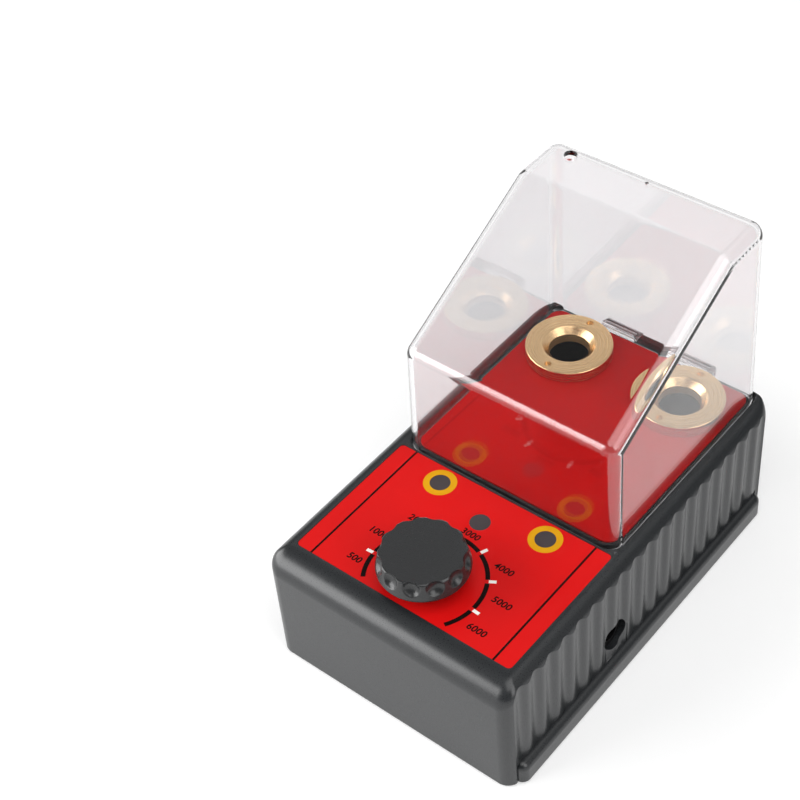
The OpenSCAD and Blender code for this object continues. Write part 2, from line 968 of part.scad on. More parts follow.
module contact_tag() {
    color(brass)
        translate([0, 0, tag_z])
            difference() {
                union() {
                    cylinder(h = tag_t, d = well_bore_d - 1);
                    translate([-tag_w / 2, -tag_reach, 0])
                        cube([tag_w, tag_reach, tag_t]);
                }
                translate([0, 0, -1])
                    cylinder(h = tag_t + 2, d = stem_d + 0.6);
            }
}

module hv_coil() {
    tower_d = 14;
    tower_h = 3;
    color(potting_black)
        translate([0, from_front(coil_at), floor_z]) {
            linear_extrude(coil_h)
                rounded_rect(coil_w, coil_d, 2);
            translate([0, coil_d / 2, coil_h - eps])
                cylinder(h = tower_h, d = tower_d);
        }
}

module hv_lead(side) {
    start = from_front(coil_at + coil_d);
    end = from_front(socket_at) - well_d / 2 - 0.4;
    z = tag_z + tag_t + hv_lead_d / 2;
    color(lead_red)
        translate([side * socket_x, 0, 0])
            lead([[0, start, z], [0, end, z]], hv_lead_d);
}

// Board and controls

module main_board() {
    color(board_green)
        difference() {
            translate([-board_w / 2, from_front(board_start), board_z - board_t])
                cube([board_w, board_len, board_t]);
            for (side = [-1, 1], at = board_post_at)
                translate([side * board_post_x, from_front(at), board_z - board_t - 1])
                    cylinder(h = board_t + 2, d = board_screw_d + 0.4);
        }
}

module board_screws() {
    color(steel)
        for (side = [-1, 1], at = board_post_at)
            translate([side * board_post_x, from_front(at), board_z - board_t])
                pan_screw(board_screw_head[0], board_screw_head[1], board_screw_d, board_screw_len);
}

module timer_chip() {
    color(potting_black)
        translate([chip_place[0], from_front(chip_place[1]), board_z - board_t - chip_size[2]])
            difference() {
                cube(chip_size);
                translate([0, chip_size[1] / 2, -1])
                    cylinder(h = 2, d = chip_mark_d);
            }
}

// A can with the crimped groove round it
module smoothing_capacitor() {
    color(potting_black)
        translate([capacitor_place[0], from_front(capacitor_place[1]), board_z - board_t - capacitor_h])
            difference() {
                cylinder(h = capacitor_h, d = capacitor_d);
                translate([0, 0, capacitor_crimp[0]])
                    difference() {
                        cylinder(h = capacitor_crimp[1], d = capacitor_d + 2);
                        translate([0, 0, -1])
                            cylinder(h = capacitor_crimp[1] + 2, d = capacitor_crimp[2]);
                    }
            }
}

module heat_sink() {
    color(aluminium)
        translate([-sink_w / 2, from_front(sink_at), board_z - board_t - sink_h]) {
            cube([sink_w, sink_t, sink_h]);
            for (i = [0 : fin_count - 1])
                translate([i * (sink_w - fin_t) / (fin_count - 1), -fin_reach, 0])
                    cube([fin_t, fin_reach + eps, sink_h]);
        }
}

// Each has a tab on the heat sink, a body on the tab and three legs up to the board
module power_transistors() {
    foot = 1;
    leg_y = transistor_tab[1] + 0.9;
    color(potting_black)
        for (side = [-1, 1])
            translate([
                side * transistor_x - transistor_tab[0] / 2, from_front(sink_at) + sink_t,
                board_z - board_t - sink_h + foot
            ]) {
                cube(transistor_tab);
                translate([0, transistor_tab[1] - eps, transistor_tab[2] - transistor_body[2]])
                    cube(transistor_body);
                for (leg = transistor_legs)
                    translate([leg - transistor_leg[0] / 2, leg_y, transistor_tab[2] - eps])
                        cube([transistor_leg[0], transistor_leg[1], sink_h - foot - transistor_tab[2] + eps]);
            }
}

module speed_potentiometer() {
    color(aluminium)
        translate([0, from_front(knob_at), 0])
            difference() {
                union() {
                    translate([0, 0, board_z])
                        cylinder(h = ceiling_z - board_z, d = pot_d);
                    translate([0, 0, ceiling_z - eps])
                        cylinder(h = bush_top - ceiling_z, d = bush_d);
                }
                translate([0, 0, shaft_foot - 0.2])
                    cylinder(h = bush_top, d = shaft_d + 2 * shaft_play);
            }
}

module pot_nut() {
    color(steel)
        translate([0, from_front(knob_at), label_top])
            difference() {
                cylinder(h = pot_nut_t, d = pot_nut_flats / cos(30), $fn = 6);
                translate([0, 0, -1])
                    cylinder(h = pot_nut_t + 2, d = bush_d);
            }
}

module pot_shaft() {
    color(aluminium)
        translate([0, from_front(knob_at), shaft_foot])
            cylinder(h = shaft_top - shaft_foot, d = shaft_d);
}

// A disc with scooped grips on a hub, which is hollow over the potentiometer's nut
module speed_knob() {
    top = top_z + knob_h;
    color(knob_grey)
        translate([0, from_front(knob_at), 0])
            difference() {
                rotate_extrude()
                    polygon([
                        [0, knob_foot], [hub_d / 2, knob_foot], [hub_d / 2, knob_under],
                        [knob_d / 2 - rim_h, knob_under], [knob_d / 2, knob_under + rim_h],
                        [knob_top_d / 2, top - top_chamfer], [knob_top_d / 2 - top_chamfer, top], [0, top]
                    ]);
                for (i = [0 : grip_count - 1])
                    rotate(grip_turn + 360 * i / grip_count)
                        translate([grip_out, 0, top - grip_drop])
                            sphere(r = grip_r);
                translate([0, 0, knob_foot - 1])
                    cylinder(h = bush_top - knob_foot + 1.5, d = nut_recess_d);
                translate([0, 0, knob_foot])
                    cylinder(h = shaft_top - knob_foot, d = shaft_d);
            }
}

module lamp_window() {
    color(lens_smoke)
        translate([0, 0, top_z - label_sink])
            cylinder(h = label_t, d = window_d - 0.1);
}

module lamp() {
    dome_z = ceiling_z - 0.4 - lamp_d / 2;
    collar = [1, 0.4];
    color(lens_smoke)
        translate([0, 0, board_z]) {
            cylinder(h = collar[0], d = lamp_d + 2 * collar[1]);
            cylinder(h = dome_z - board_z, d = lamp_d);
            translate([0, 0, dome_z - board_z])
                sphere(d = lamp_d);
        }
}

// Inlet and leads

module dc_inlet() {
    color(potting_black)
        difference() {
            union() {
                translate([inlet_body_x[0], from_front(inlet_at) - inlet_body_w / 2, inlet_z - inlet_body_w / 2])
                    cube([inlet_body_x[1] - inlet_body_x[0], inlet_body_w, inlet_body_w]);
                translate([0, from_front(inlet_at), inlet_z])
                    bar_x(inlet_body_x[1] - eps, inlet_nose + 0.3, inlet_nose_d);
            }
            translate([0, from_front(inlet_at), inlet_z])
                bar_x(inlet_body_x[1] + inlet_nose - inlet_depth, inlet_depth + 1, inlet_mouth_d);
        }
}

module inlet_pin() {
    foot = inlet_body_x[1] + inlet_nose - inlet_depth;
    color(steel)
        translate([0, from_front(inlet_at), inlet_z])
            bar_x(foot, pin_len, inlet_pin_d);
}

module supply_leads() {
    x = inlet_body_x[0];
    reach = 8;
    apart = 5;
    color(lead_red)
        for (side = [-1, 1])
            translate([0, from_front(inlet_at) + side * apart / 2, 0])
                lead([[x, 0, inlet_z], [x - reach, 0, inlet_z], [x - reach, 0, board_z - board_t]], wire_d);
}

module coil_leads(side) {
    turn_y = from_front(61);
    z = 22;
    color(lead_red)
        for (x = [coil_x - 8, coil_x - 3])
            translate([side * x, 0, 0])
                lead([[0, from_front(coil_at), z], [0, turn_y, z], [0, turn_y, board_z - board_t]], wire_d);
}

module earth_lead() {
    y_strap = from_front(socket_at - 16);
    y_board = from_front(58);
    z = ceiling_z - strap_t - 6;
    color(potting_black)
        lead([
            [0, y_strap, ceiling_z - strap_t], [0, y_strap, z], [0, y_board, z], [0, y_board, board_z]
        ], wire_d);
}

module at_socket(side) {
    translate([side * socket_x, from_front(socket_at), 0])
        children();
}

housing_top();
base_cover();
rubber_feet();
base_screws();
front_label();
rear_label();
clear_hood();
hinge_pin();
at_socket(-1) plug_socket();  // plug_socket_left
at_socket(1) plug_socket();  // plug_socket_right
at_socket(-1) socket_nut();  // socket_nut_left
at_socket(1) socket_nut();  // socket_nut_right
earth_strap();
at_socket(-1) plug_well();  // plug_well_left
at_socket(1) plug_well();  // plug_well_right
at_socket(-1) contact_plunger();  // contact_plunger_left
at_socket(1) contact_plunger();  // contact_plunger_right
at_socket(-1) plunger_clip();  // plunger_clip_left
at_socket(1) plunger_clip();  // plunger_clip_right
at_socket(-1) contact_spring();  // contact_spring_left
at_socket(1) contact_spring();  // contact_spring_right
at_socket(-1) contact_tag();  // contact_tag_left
at_socket(1) contact_tag();  // contact_tag_right
translate([-coil_x, 0, 0]) hv_coil();  // hv_coil_left
translate([coil_x, 0, 0]) hv_coil();  // hv_coil_right
hv_lead(-1);  // hv_lead_left
hv_lead(1);  // hv_lead_right
main_board();
board_screws();
timer_chip();
smoothing_capacitor();
heat_sink();
power_transistors();
speed_potentiometer();
pot_nut();
pot_shaft();
speed_knob();
translate([-window_x, from_front(window_at), 0]) lamp_window();  // hv_window_left
translate([window_x, from_front(window_at), 0]) lamp_window();  // hv_window_right
translate([0, from_front(power_at), 0]) lamp_window();  // power_window
translate([-window_x, from_front(window_at), 0]) lamp();  // hv_lamp_left
translate([window_x, from_front(window_at), 0]) lamp();  // hv_lamp_right
translate([0, from_front(power_at), 0]) lamp();  // power_lamp
dc_inlet();
inlet_pin();
supply_leads();
coil_leads(-1);  // coil_leads_left
coil_leads(1);  // coil_leads_right
earth_lead();
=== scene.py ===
"""Dresses a spark plug tester: ribbed case, red labels, dial and knob, brass sockets and a clear hood."""

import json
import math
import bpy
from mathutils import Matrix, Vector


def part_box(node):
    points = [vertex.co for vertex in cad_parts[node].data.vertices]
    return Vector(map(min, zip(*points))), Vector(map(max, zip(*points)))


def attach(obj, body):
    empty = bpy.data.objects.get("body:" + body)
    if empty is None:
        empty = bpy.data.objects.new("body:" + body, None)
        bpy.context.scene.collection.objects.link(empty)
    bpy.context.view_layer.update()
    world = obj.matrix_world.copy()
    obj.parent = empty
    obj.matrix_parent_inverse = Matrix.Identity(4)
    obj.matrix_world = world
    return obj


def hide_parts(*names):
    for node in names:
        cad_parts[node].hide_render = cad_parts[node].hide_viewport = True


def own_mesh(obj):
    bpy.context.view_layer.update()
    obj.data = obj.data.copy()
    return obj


bl_info = {
    "name": "Spark plug tester",
    "version": (1, 0, 0),
    "blender": (4, 5, 0),
    "location": "View3D > Sidebar > Tester",
    "description": "Builds the tester's case, labels, hood, sockets, knob and studio around its CAD frame",
    "category": "Object",
}

import bmesh
import bpy
import numpy as np
from bpy.props import FloatProperty, FloatVectorProperty, IntProperty, PointerProperty
from mathutils import Matrix, Vector

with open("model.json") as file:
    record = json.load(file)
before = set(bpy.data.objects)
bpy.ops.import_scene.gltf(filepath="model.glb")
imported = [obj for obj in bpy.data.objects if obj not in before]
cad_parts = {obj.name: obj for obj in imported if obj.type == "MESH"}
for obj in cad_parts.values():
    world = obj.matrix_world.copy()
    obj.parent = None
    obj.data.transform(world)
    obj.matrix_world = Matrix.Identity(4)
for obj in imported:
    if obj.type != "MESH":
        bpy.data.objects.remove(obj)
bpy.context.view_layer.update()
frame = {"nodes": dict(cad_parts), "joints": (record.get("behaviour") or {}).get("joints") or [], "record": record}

MM = 0.001
PHOTO_SIDE = 800
SENSOR_MM = 36

# Places that the frame gives
CASE_LOW, CASE_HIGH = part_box("housing_top")
LABEL_LOW, LABEL_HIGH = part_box("front_label")
HOOD_LOW, HOOD_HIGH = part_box("clear_hood")
KNOB_LOW, KNOB_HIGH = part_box("speed_knob")
SOCKET_BOXES = {side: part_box(f"plug_socket_{side}") for side in ("left", "right")}
PIN_LOW, PIN_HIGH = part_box("hinge_pin")
INLET_LOW, INLET_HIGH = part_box("inlet_pin")
FRONT = CASE_LOW.y
FOOT = CASE_LOW.z
TOP = CASE_HIGH.z
LABEL_TOP = LABEL_HIGH.z
HALF_WIDTH = CASE_HIGH.x
HOOD_FOOT = TOP - 1.7 * MM
LUG_HALF = 7 * MM
RAIL_LAP = HALF_WIDTH - 1.6 * MM
RAIL_TOP = FOOT + 8 * MM
RAIL_START = FRONT + 4 * MM
RAIL_END = FRONT + 144 * MM
SIDES = {"left": -1, "right": 1}

# The dial's figures and the place of each one's middle from the knob's axis, in mm
FIGURES = (
    ("500", (-23.2, -6.5)), ("1000", (-23.8, 6.0)), ("2000", (-16.6, 17.2)), ("3000", (0.6, 22.3)),
    ("4000", (17.8, 16.8)), ("5000", (25.2, 5.7)), ("6000", (25.2, -6.9)))


def middle(box):
    """The middle of a box."""
    return (box[0] + box[1]) / 2


def linear(code):
    """Turns an sRGB hex colour into linear red, green and blue."""
    values = [int(code[i:i + 2], 16) / 255 for i in (1, 3, 5)]
    return tuple(v / 12.92 if v <= 0.04045 else ((v + 0.055) / 1.055) ** 2.4 for v in values)


def length(name, description, mm):
    """A length property whose default is given in millimetres."""
    return FloatProperty(name=name, description=description, default=mm * MM, unit="LENGTH", precision=5)


def degrees(name, description, value):
    """An angle property whose default is given in degrees."""
    return FloatProperty(name=name, description=description, default=math.radians(value), subtype="ANGLE")


def colour(name, description, code):
    """A colour property whose default is an sRGB hex value."""
    return FloatVectorProperty(
        name=name, description=description, default=linear(code), subtype="COLOR", size=3, min=0, max=1)


# Settings

class TesterCase(bpy.types.PropertyGroup):
    """Sizes of the moulded case."""

    depth: length("Depth", "From the front face to the rear face", 151)
    wall: length("Wall", "Thickness of the shell", 2.5)
    edge_radius: length("Side edge radius", "Radius of the long top edges", 6)
    front_radius: length("Front edge radius", "Radius of the front top edge", 9)
    rear_radius: length("Rear edge radius", "Radius of the rear top edge", 1.5)
    corner_radius: length("Front corner radius", "Radius of the upright front corners", 5)
    rear_corner_radius: length("Rear corner radius", "Radius of the upright rear corners", 9)
    rib_count: IntProperty(name="Ribs", description="Ribs on each side", default=18, min=1)
    rib_pitch: length("Rib pitch", "Distance from rib to rib", 7.6)
    rib_depth: length("Rib depth", "Depth of the valleys between ribs", 0.75)
    rib_inset: length("Rib inset", "How far the crests lie inside the case's full width", 0.4)
    rib_start: length("First valley", "Distance of the first valley from the front face", 7.1)
    groove_edge: length("Groove edge", "Chamfer along the outer edge of the hood's groove", 0.4)
    plastic: colour("Case plastic", "Colour of the moulded case", "#222426")


class TesterLabel(bpy.types.PropertyGroup):
    """Sizes and colours of the printed labels."""

    print_rise: length("Print rise", "How far the print stands on the label", 0.03)
    arc_radius: length("Dial radius", "Radius of the middle of the dial's arc", 19.4)
    arc_width: length("Arc width", "Width of the dial's arc", 1.5)
    sweep: degrees("Dial sweep", "Angle from the arc's first end to its last", 248)
    tick_step: degrees("Tick step", "Angle from tick to tick on each side", 35.25)
    tick_first: degrees("First tick", "Angle of the uppermost ticks from the dial's top", 23.5)
    tick_gap: degrees("Tick gap", "Gap in the arc at each tick", 4.4)
    tick_width: length("Tick width", "Width of a white tick", 1.15)
    tick_length: length("Tick length", "Length of a white tick", 2.4)
    number_height: length("Number height", "Height of the dial's figures", 2.4)
    line_x: length("Line place", "Distance of each line from the middle", 35.8)
    line_width: length("Line width", "Width of each line", 0.7)
    ring_outer: length("Ring", "Outside diameter of the rings round the windows", 11.2)
    black: colour("Print black", "Colour of the dial's arc, figures and lines", "#110807")
    white: colour("Print white", "Colour of the ticks", "#F2EFEA")
    yellow: colour("Ring yellow", "Colour of the rings", "#D69B12")


class TesterHood(bpy.types.PropertyGroup):
    """Sizes of the clear hood."""

    wall: length("Wall", "Thickness of the hood", 1.8)
    front: length("Front", "Distance of the front wall from the case's front face", 64.2)
    rear: length("Rear", "Distance of the rear wall from the case's front face", 150)
    fold_height: length("Fold height", "Height of the fold above the case", 42.2)
    bend: length("Bend", "Distance of the slope's upper end from the case's front face", 127.7)
    lean: length("Lean", "How far each wall leans in over the hood's height", 1.3)
    edge_radius: length("Edge radius", "Radius of the outside edges", 5)
    fold_radius: length("Fold radius", "Radius of the fold and the bend", 5)
    vent_x: length("Vent place", "Distance of the vent to the left of the middle", 29.6)
    vent: length("Vent", "Diameter of the vent in the top", 4.5)
    vent_back: length("Vent distance", "Distance of the vent from the case's front face", 142.6)
    tint: colour("Tint", "Colour of light that has passed through a wall", "#F4F3F4")


class TesterSocket(bpy.types.PropertyGroup):
    """Sizes of the brass sockets."""

    bore: length("Bore", "Diameter of the bore", 14)
    countersink: length("Countersink", "Diameter of the countersink", 18.5)
    spigot: length("Spigot", "Diameter of the threaded part", 21)
    sleeve: length("Sleeve room", "Diameter of the counterbore that takes the well's sleeve", 17.2)
    lip: length("Lip", "Height of the plain bore below the countersink", 3.35)
    spanner_place: length("Spanner holes", "Distance of each spanner hole from the middle", 12.6)
    spanner_hole: length("Spanner hole", "Diameter of a spanner hole", 2.5)
    spanner_depth: length("Spanner depth", "Depth of a spanner hole", 0.9)
    brass: colour("Brass", "Colour of the turned brass", "#DDBB8D")


class TesterKnob(bpy.types.PropertyGroup):
    """Sizes of the speed knob."""

    top_diameter: length("Top diameter", "Diameter at the knob's top", 28)
    lift: length("Lift", "Height of the hub below the disc", 5)
    hub: length("Hub", "Diameter of the hub", 20)
    rim: length("Rim", "Height of the rounded rim under the widest place", 1.2)
    recess: length("Recess", "Diameter of the room for the nut", 15)
    edge: length("Edge", "Radius of the top edge", 0.9)
    grip_count: IntProperty(name="Grips", description="Scooped grips round the knob", default=12, min=3)
    grip_radius: length("Grip radius", "Radius of the ball that scoops a grip", 3.9)
    grip_reach: length("Grip place", "Distance of the ball's middle from the knob's axis", 16.5)
    grip_drop: length("Grip drop", "Depth of the ball's middle below the top", 1.3)
    grip_turn: degrees("Grip turn", "Angle of the first grip from the right", -6)
    grip_soften: length("Grip edge", "How far a scoop's edge is rounded", 0.3)
    plastic: colour("Knob plastic", "Colour of the knob", "#222324")


class TesterStage(bpy.types.PropertyGroup):
    """The camera and the studio."""

    focal: FloatProperty(name="Focal length", description="In pixels of the photograph", default=1747.1)
    azimuth: degrees("Azimuth", "Turn of the camera about the object", 43.08)
    elevation: degrees("Elevation", "Height of the camera as an angle", 44.209)
    roll: degrees("Roll", "Tilt of the camera about its view", -5.737)
    eye: FloatVectorProperty(
        name="Eye", description="Place of the camera", default=(0.236263, -0.312016, 0.464055),
        subtype="XYZ", unit="LENGTH")
    floor: colour("Floor", "Colour of the floor", "#D6D6D6")
    floor_lift: FloatProperty(
        name="Floor lift", default=0.38,
        description="Light that the floor adds where it is seen, mirrored or seen through glass")
    room: FloatProperty(name="Room", description="Strength of the room's own light", default=0.15)


# Small tools

def add_node(tree, kind, links=None, **settings):
    """Adds a node with its settings. links gives each input a value or another node's output."""
    node = tree.nodes.new(kind)
    for name, value in settings.items():
        setattr(node, name, value)
    for key, value in (links or {}).items():
        if isinstance(value, bpy.types.NodeSocket):
            tree.links.new(value, node.inputs[key])
        else:
            node.inputs[key].default_value = value
    return node


def new_piece(name, points, faces, uvs=None):
    """Makes an object of points and faces, which hold its place. uvs has a pair for each corner of a face."""
    mesh = bpy.data.meshes.new(name)
    mesh.from_pydata([tuple(p) for p in points], [], [tuple(f) for f in faces])
    if uvs is not None:
        layer = mesh.uv_layers.new(name="surface")
        layer.data.foreach_set("uv", np.asarray(uvs, np.float32).ravel())
    piece = bpy.data.objects.new(name, mesh)
    bpy.context.scene.collection.objects.link(piece)
    return piece


def tidy(piece, merge=1e-6):
    """Merges doubles and turns faces outwards."""
    work = bmesh.new()
    work.from_mesh(piece.data)
    bmesh.ops.remove_doubles(work, verts=work.verts, dist=merge)
    bmesh.ops.dissolve_degenerate(work, edges=work.edges, dist=merge)
    bmesh.ops.recalc_face_normals(work, faces=work.faces)
    work.to_mesh(piece.data)
    work.free()
    return piece


def settle(piece):
    """Turns a piece and its modifiers into a plain mesh."""
    graph = bpy.context.evaluated_depsgraph_get()
    made = bpy.data.meshes.new_from_object(piece.evaluated_get(graph), depsgraph=graph)
    piece.modifiers.clear()
    old = piece.data
    piece.data = made
    made.name = piece.name
    bpy.data.meshes.remove(old)
    return piece


def finish(piece, material, angle):
    """Gives a piece one material, and shading that keeps flat faces flat and edges above an angle sharp."""
    mesh = piece.data
    mesh.materials.clear()
    mesh.materials.append(material)
    mesh.polygons.foreach_set("material_index", [0] * len(mesh.polygons))
    mesh.shade_smooth()
    mesh.set_sharp_from_angle(angle=math.radians(angle))
    modifier = piece.modifiers.new("Flat faces", "WEIGHTED_NORMAL")
    modifier.weight = 100
    modifier.keep_sharp = True
    return settle(piece)


def start_tree(name, inputs):
    """A rule's node tree, which takes geometry and the named inputs, with the outputs that give them."""
    tree = bpy.data.node_groups.new(name, "GeometryNodeTree")
    for key, kind in {"Geometry": "Geometry", **inputs}.items():
        tree.interface.new_socket(key, in_out="INPUT", socket_type=f"NodeSocket{kind}")
    tree.interface.new_socket("Geometry", in_out="OUTPUT", socket_type="NodeSocketGeometry")
    return tree, add_node(tree, "NodeGroupInput").outputs


def end_tree(tree, geometry, material):
    """Ends a rule with real geometry of one material."""
    real = add_node(tree, "GeometryNodeRealizeInstances", {"Geometry": geometry})
    coated = add_node(tree, "GeometryNodeSetMaterial", {"Geometry": real.outputs[0], "Material": material})
    add_node(tree, "NodeGroupOutput", {"Geometry": coated.outputs[0]})
    return tree


def by_rule(piece, tree, values):
    """Shapes a piece by a node tree, whose inputs are named in values, and settles it."""
    modifier = piece.modifiers.new("Rule", "NODES")
    modifier.node_group = tree
    for item in tree.interface.items_tree:
        if item.item_type == "SOCKET" and item.in_out == "INPUT" and item.name in values:
            modifier[item.identifier] = values[item.name]
    return settle(piece)


def combine(piece, others, operation):
    """Joins other solids to a piece, or cuts them from it, and removes them."""
    group = bpy.data.collections.new("tools")
    for other in others:
        for holder in other.users_collection:
            holder.objects.unlink(other)
        group.objects.link(other)
    bpy.context.scene.collection.children.link(group)
    modifier = piece.modifiers.new("Combine", "BOOLEAN")
    modifier.operation = operation
    modifier.operand_type = "COLLECTION"
    modifier.collection = group
    modifier.solver = "EXACT"
    settle(piece)
    for other in others:
        bpy.data.meshes.remove(other.data)
    bpy.data.collections.remove(group)
    return piece


def block(low, high):
    """A box between two corners."""
    x, y, z = zip(low, high)
    points = [(x[i], y[j], z[k]) for k in (0, 1) for j in (0, 1) for i in (0, 1)]
    faces = [(0, 2, 3, 1), (4, 5, 7, 6), (0, 1, 5, 4), (2, 6, 7, 3), (0, 4, 6, 2), (1, 3, 7, 5)]
    return new_piece("block", points, faces)


def stack(name, rings):
    """Joins closed rings of points of equal counts, each to the next, and closes both ends."""
    count = len(rings[0])
    last = (len(rings) - 1) * count
    faces = [tuple(range(count))[::-1], tuple(range(last, last + count))]
    for base in range(0, last, count):
        for i in range(count):
            k = (i + 1) % count
            faces.append((base + i, base + k, base + count + k, base + count + i))
    return tidy(new_piece(name, [p for ring in rings for p in ring], faces))


def loft(levels, axis):
    """Joins outlines at rising levels along X or Z. They are given in Y and Z for X, X and Y for Z."""
    rings = []
    for outline, level in levels:
        rings.append([(level, a, b) if axis == "X" else (a, b, level) for a, b in outline])
    return stack("loft", rings)


def prism(outline, axis, start, end):
    """Extrudes an outline along X or Z."""
    return loft([(outline, start), (outline, end)], axis)


def circle(centre, radius, count=64):
    """Points round a circle."""
    turns = [2 * math.pi * i / count for i in range(count)]
    return [(centre[0] + radius * math.cos(t), centre[1] + radius * math.sin(t)) for t in turns]


def rounded_outline(low, high, radius, steps=8):
    """Points round a rectangle with round corners."""
    points = []
    corners = ((high[0], low[1], -90), (high[0], high[1], 0), (low[0], high[1], 90), (low[0], low[1], 180))
    for x, y, first in corners:
        cx = x - radius if x == high[0] else x + radius
        cy = y - radius if y == high[1] else y + radius
        for i in range(steps + 1):
            turn = math.radians(first + 90 * i / steps)
            points.append((cx + radius * math.cos(turn), cy + radius * math.sin(turn)))
    return points


def lathe(name, profile, centre, count=128):
    """Turns a closed profile of radius and height about an upright axis, with UVs of turn and run in mm."""
    rows = len(profile)
    points = []
    for i in range(count):
        turn = 2 * math.pi * i / count
        points += [(centre.x + r * math.cos(turn), centre.y + r * math.sin(turn), z) for r, z in profile]
    runs = [0.0]
    for (r0, z0), (r1, z1) in zip(profile, profile[1:] + profile[:1]):
        runs.append(runs[-1] + math.hypot(r1 - r0, z1 - z0) / MM)
    faces, uvs = [], []
    for i in range(count):
        k = (i + 1) % count
        for j in range(rows):
            n = (j + 1) % rows
            faces.append((i * rows + j, k * rows + j, k * rows + n, i * rows + n))
            u0, u1 = i / count, (i + 1) / count
            uvs += [(u0, runs[j]), (u1, runs[j]), (u1, runs[j + 1]), (u0, runs[j + 1])]
    return new_piece(name, points, faces, uvs)


# Materials

def start_material(name, base, roughness, **sockets):
    """A material with a principled surface. Other sockets are named with underscores for spaces."""
    material = bpy.data.materials.new(name)
    material.use_nodes = True
    surface = material.node_tree.nodes["Principled BSDF"]
    surface.inputs["Base Color"].default_value = (*base, 1)
    surface.inputs["Roughness"].default_value = roughness
    for key, value in sockets.items():
        surface.inputs[key.replace("_", " ")].default_value = value
    return material, material.node_tree, surface


def grain(tree, surface, size_mm, rise_mm, base, spread, roughness):
    """A fine irregular grain: bump, a little difference of colour and a range of roughness."""
    place = add_node(tree, "ShaderNodeTexCoord")
    noise = add_node(
        tree, "ShaderNodeTexNoise",
        {"Vector": place.outputs["Object"], "Scale": 1 / (size_mm * MM), "Detail": 3.0, "Roughness": 0.6})
    cloud_mm = 18
    broad = add_node(
        tree, "ShaderNodeTexNoise",
        {"Vector": place.outputs["Object"], "Scale": 1 / (cloud_mm * MM), "Detail": 2.0})
    bump = add_node(
        tree, "ShaderNodeBump", {"Height": noise.outputs["Fac"], "Strength": 1.0, "Distance": rise_mm * MM})
    tree.links.new(bump.outputs["Normal"], surface.inputs["Normal"])
    shade = add_node(
        tree, "ShaderNodeMapRange",
        {"Value": broad.outputs["Fac"], "From Min": 0.3, "From Max": 0.7, "To Min": 1 - spread,
         "To Max": 1 + spread})
    tone = add_node(
        tree, "ShaderNodeVectorMath", {0: base, "Scale": shade.outputs["Result"]}, operation="SCALE")
    tree.links.new(tone.outputs["Vector"], surface.inputs["Base Color"])
    gloss = add_node(
        tree, "ShaderNodeMapRange",
        {"Value": noise.outputs["Fac"], "From Min": 0.3, "From Max": 0.7, "To Min": roughness[0],
         "To Max": roughness[1]})
    tree.links.new(gloss.outputs["Result"], surface.inputs["Roughness"])


def moulded_plastic(name, base, roughness=(0.26, 0.33), size_mm=0.35, rise_mm=0.001, specular=0.5):
    """Moulded ABS: a spark-eroded mould leaves a fine satin grain that breaks up the highlights."""
    material, tree, surface = start_material(name, base, 0.35, IOR=1.54, Specular_IOR_Level=specular)
    grain(tree, surface, size_mm, rise_mm, base, 0.05, roughness)
    return material


def label_film(name, base, specular=0.16):
    """Printed film: even ink under a thin satin skin, with broad, barely seen clouds of tone."""
    material, tree, surface = start_material(name, base, 0.32, IOR=1.5, Specular_IOR_Level=specular)
    grain(tree, surface, 3.0, 0.0005, base, 0.025, (0.28, 0.36))
    return material


def print_ink(name, base):
    """Screen-printed ink: matt, a little thicker and thinner from place to place."""
    material, tree, surface = start_material(name, base, 0.5, IOR=1.5, Specular_IOR_Level=0.1)
    grain(tree, surface, 0.6, 0.001, base, 0.04, (0.45, 0.55))
    return material


def turned_brass(name, base, bore_run):
    """Brass turned on a lathe: fine tool rings, brighter and duller by turns, round each face."""
    material, tree, surface = start_material(name, base, 0.35, Metallic=1.0)
    place = add_node(tree, "ShaderNodeTexCoord")
    rings_per_mm = 7.0
    rings = add_node(
        tree, "ShaderNodeMapping", {"Vector": place.outputs["UV"], "Scale": (4.0, rings_per_mm, 1.0)})
    noise = add_node(
        tree, "ShaderNodeTexNoise", {"Vector": rings.outputs["Vector"], "Scale": 1.0, "Detail": 2.0})
    bump = add_node(
        tree, "ShaderNodeBump", {"Height": noise.outputs["Fac"], "Strength": 1.0, "Distance": 0.002 * MM})
    tree.links.new(bump.outputs["Normal"], surface.inputs["Normal"])
    gloss = add_node(
        tree, "ShaderNodeMapRange",
        {"Value": noise.outputs["Fac"], "From Min": 0.3, "From Max": 0.7, "To Min": 0.2, "To Max": 0.3})
    # The reamed bore, which lies between two runs of the profile, is duller than the turned faces
    runs = add_node(tree, "ShaderNodeSeparateXYZ", {0: place.outputs["UV"]})
    start, end = bore_run
    reamed = add_node(
        tree, "ShaderNodeMath", {0: runs.outputs["Y"], 1: (start + end) / 2, 2: (end - start) / 2},
        operation="COMPARE")
    duller = 0.4
    dull = add_node(
        tree, "ShaderNodeMath", {0: reamed.outputs[0], 1: duller, 2: gloss.outputs["Result"]},
        operation="MULTIPLY_ADD")
    tree.links.new(dull.outputs[0], surface.inputs["Roughness"])
    shade = add_node(
        tree, "ShaderNodeMapRange",
        {"Value": noise.outputs["Fac"], "From Min": 0.3, "From Max": 0.7, "To Min": 0.97, "To Max": 1.03})
    tone = add_node(
        tree, "ShaderNodeVectorMath", {0: base, "Scale": shade.outputs["Result"]}, operation="SCALE")
    tree.links.new(tone.outputs["Vector"], surface.inputs["Base Color"])
    return material


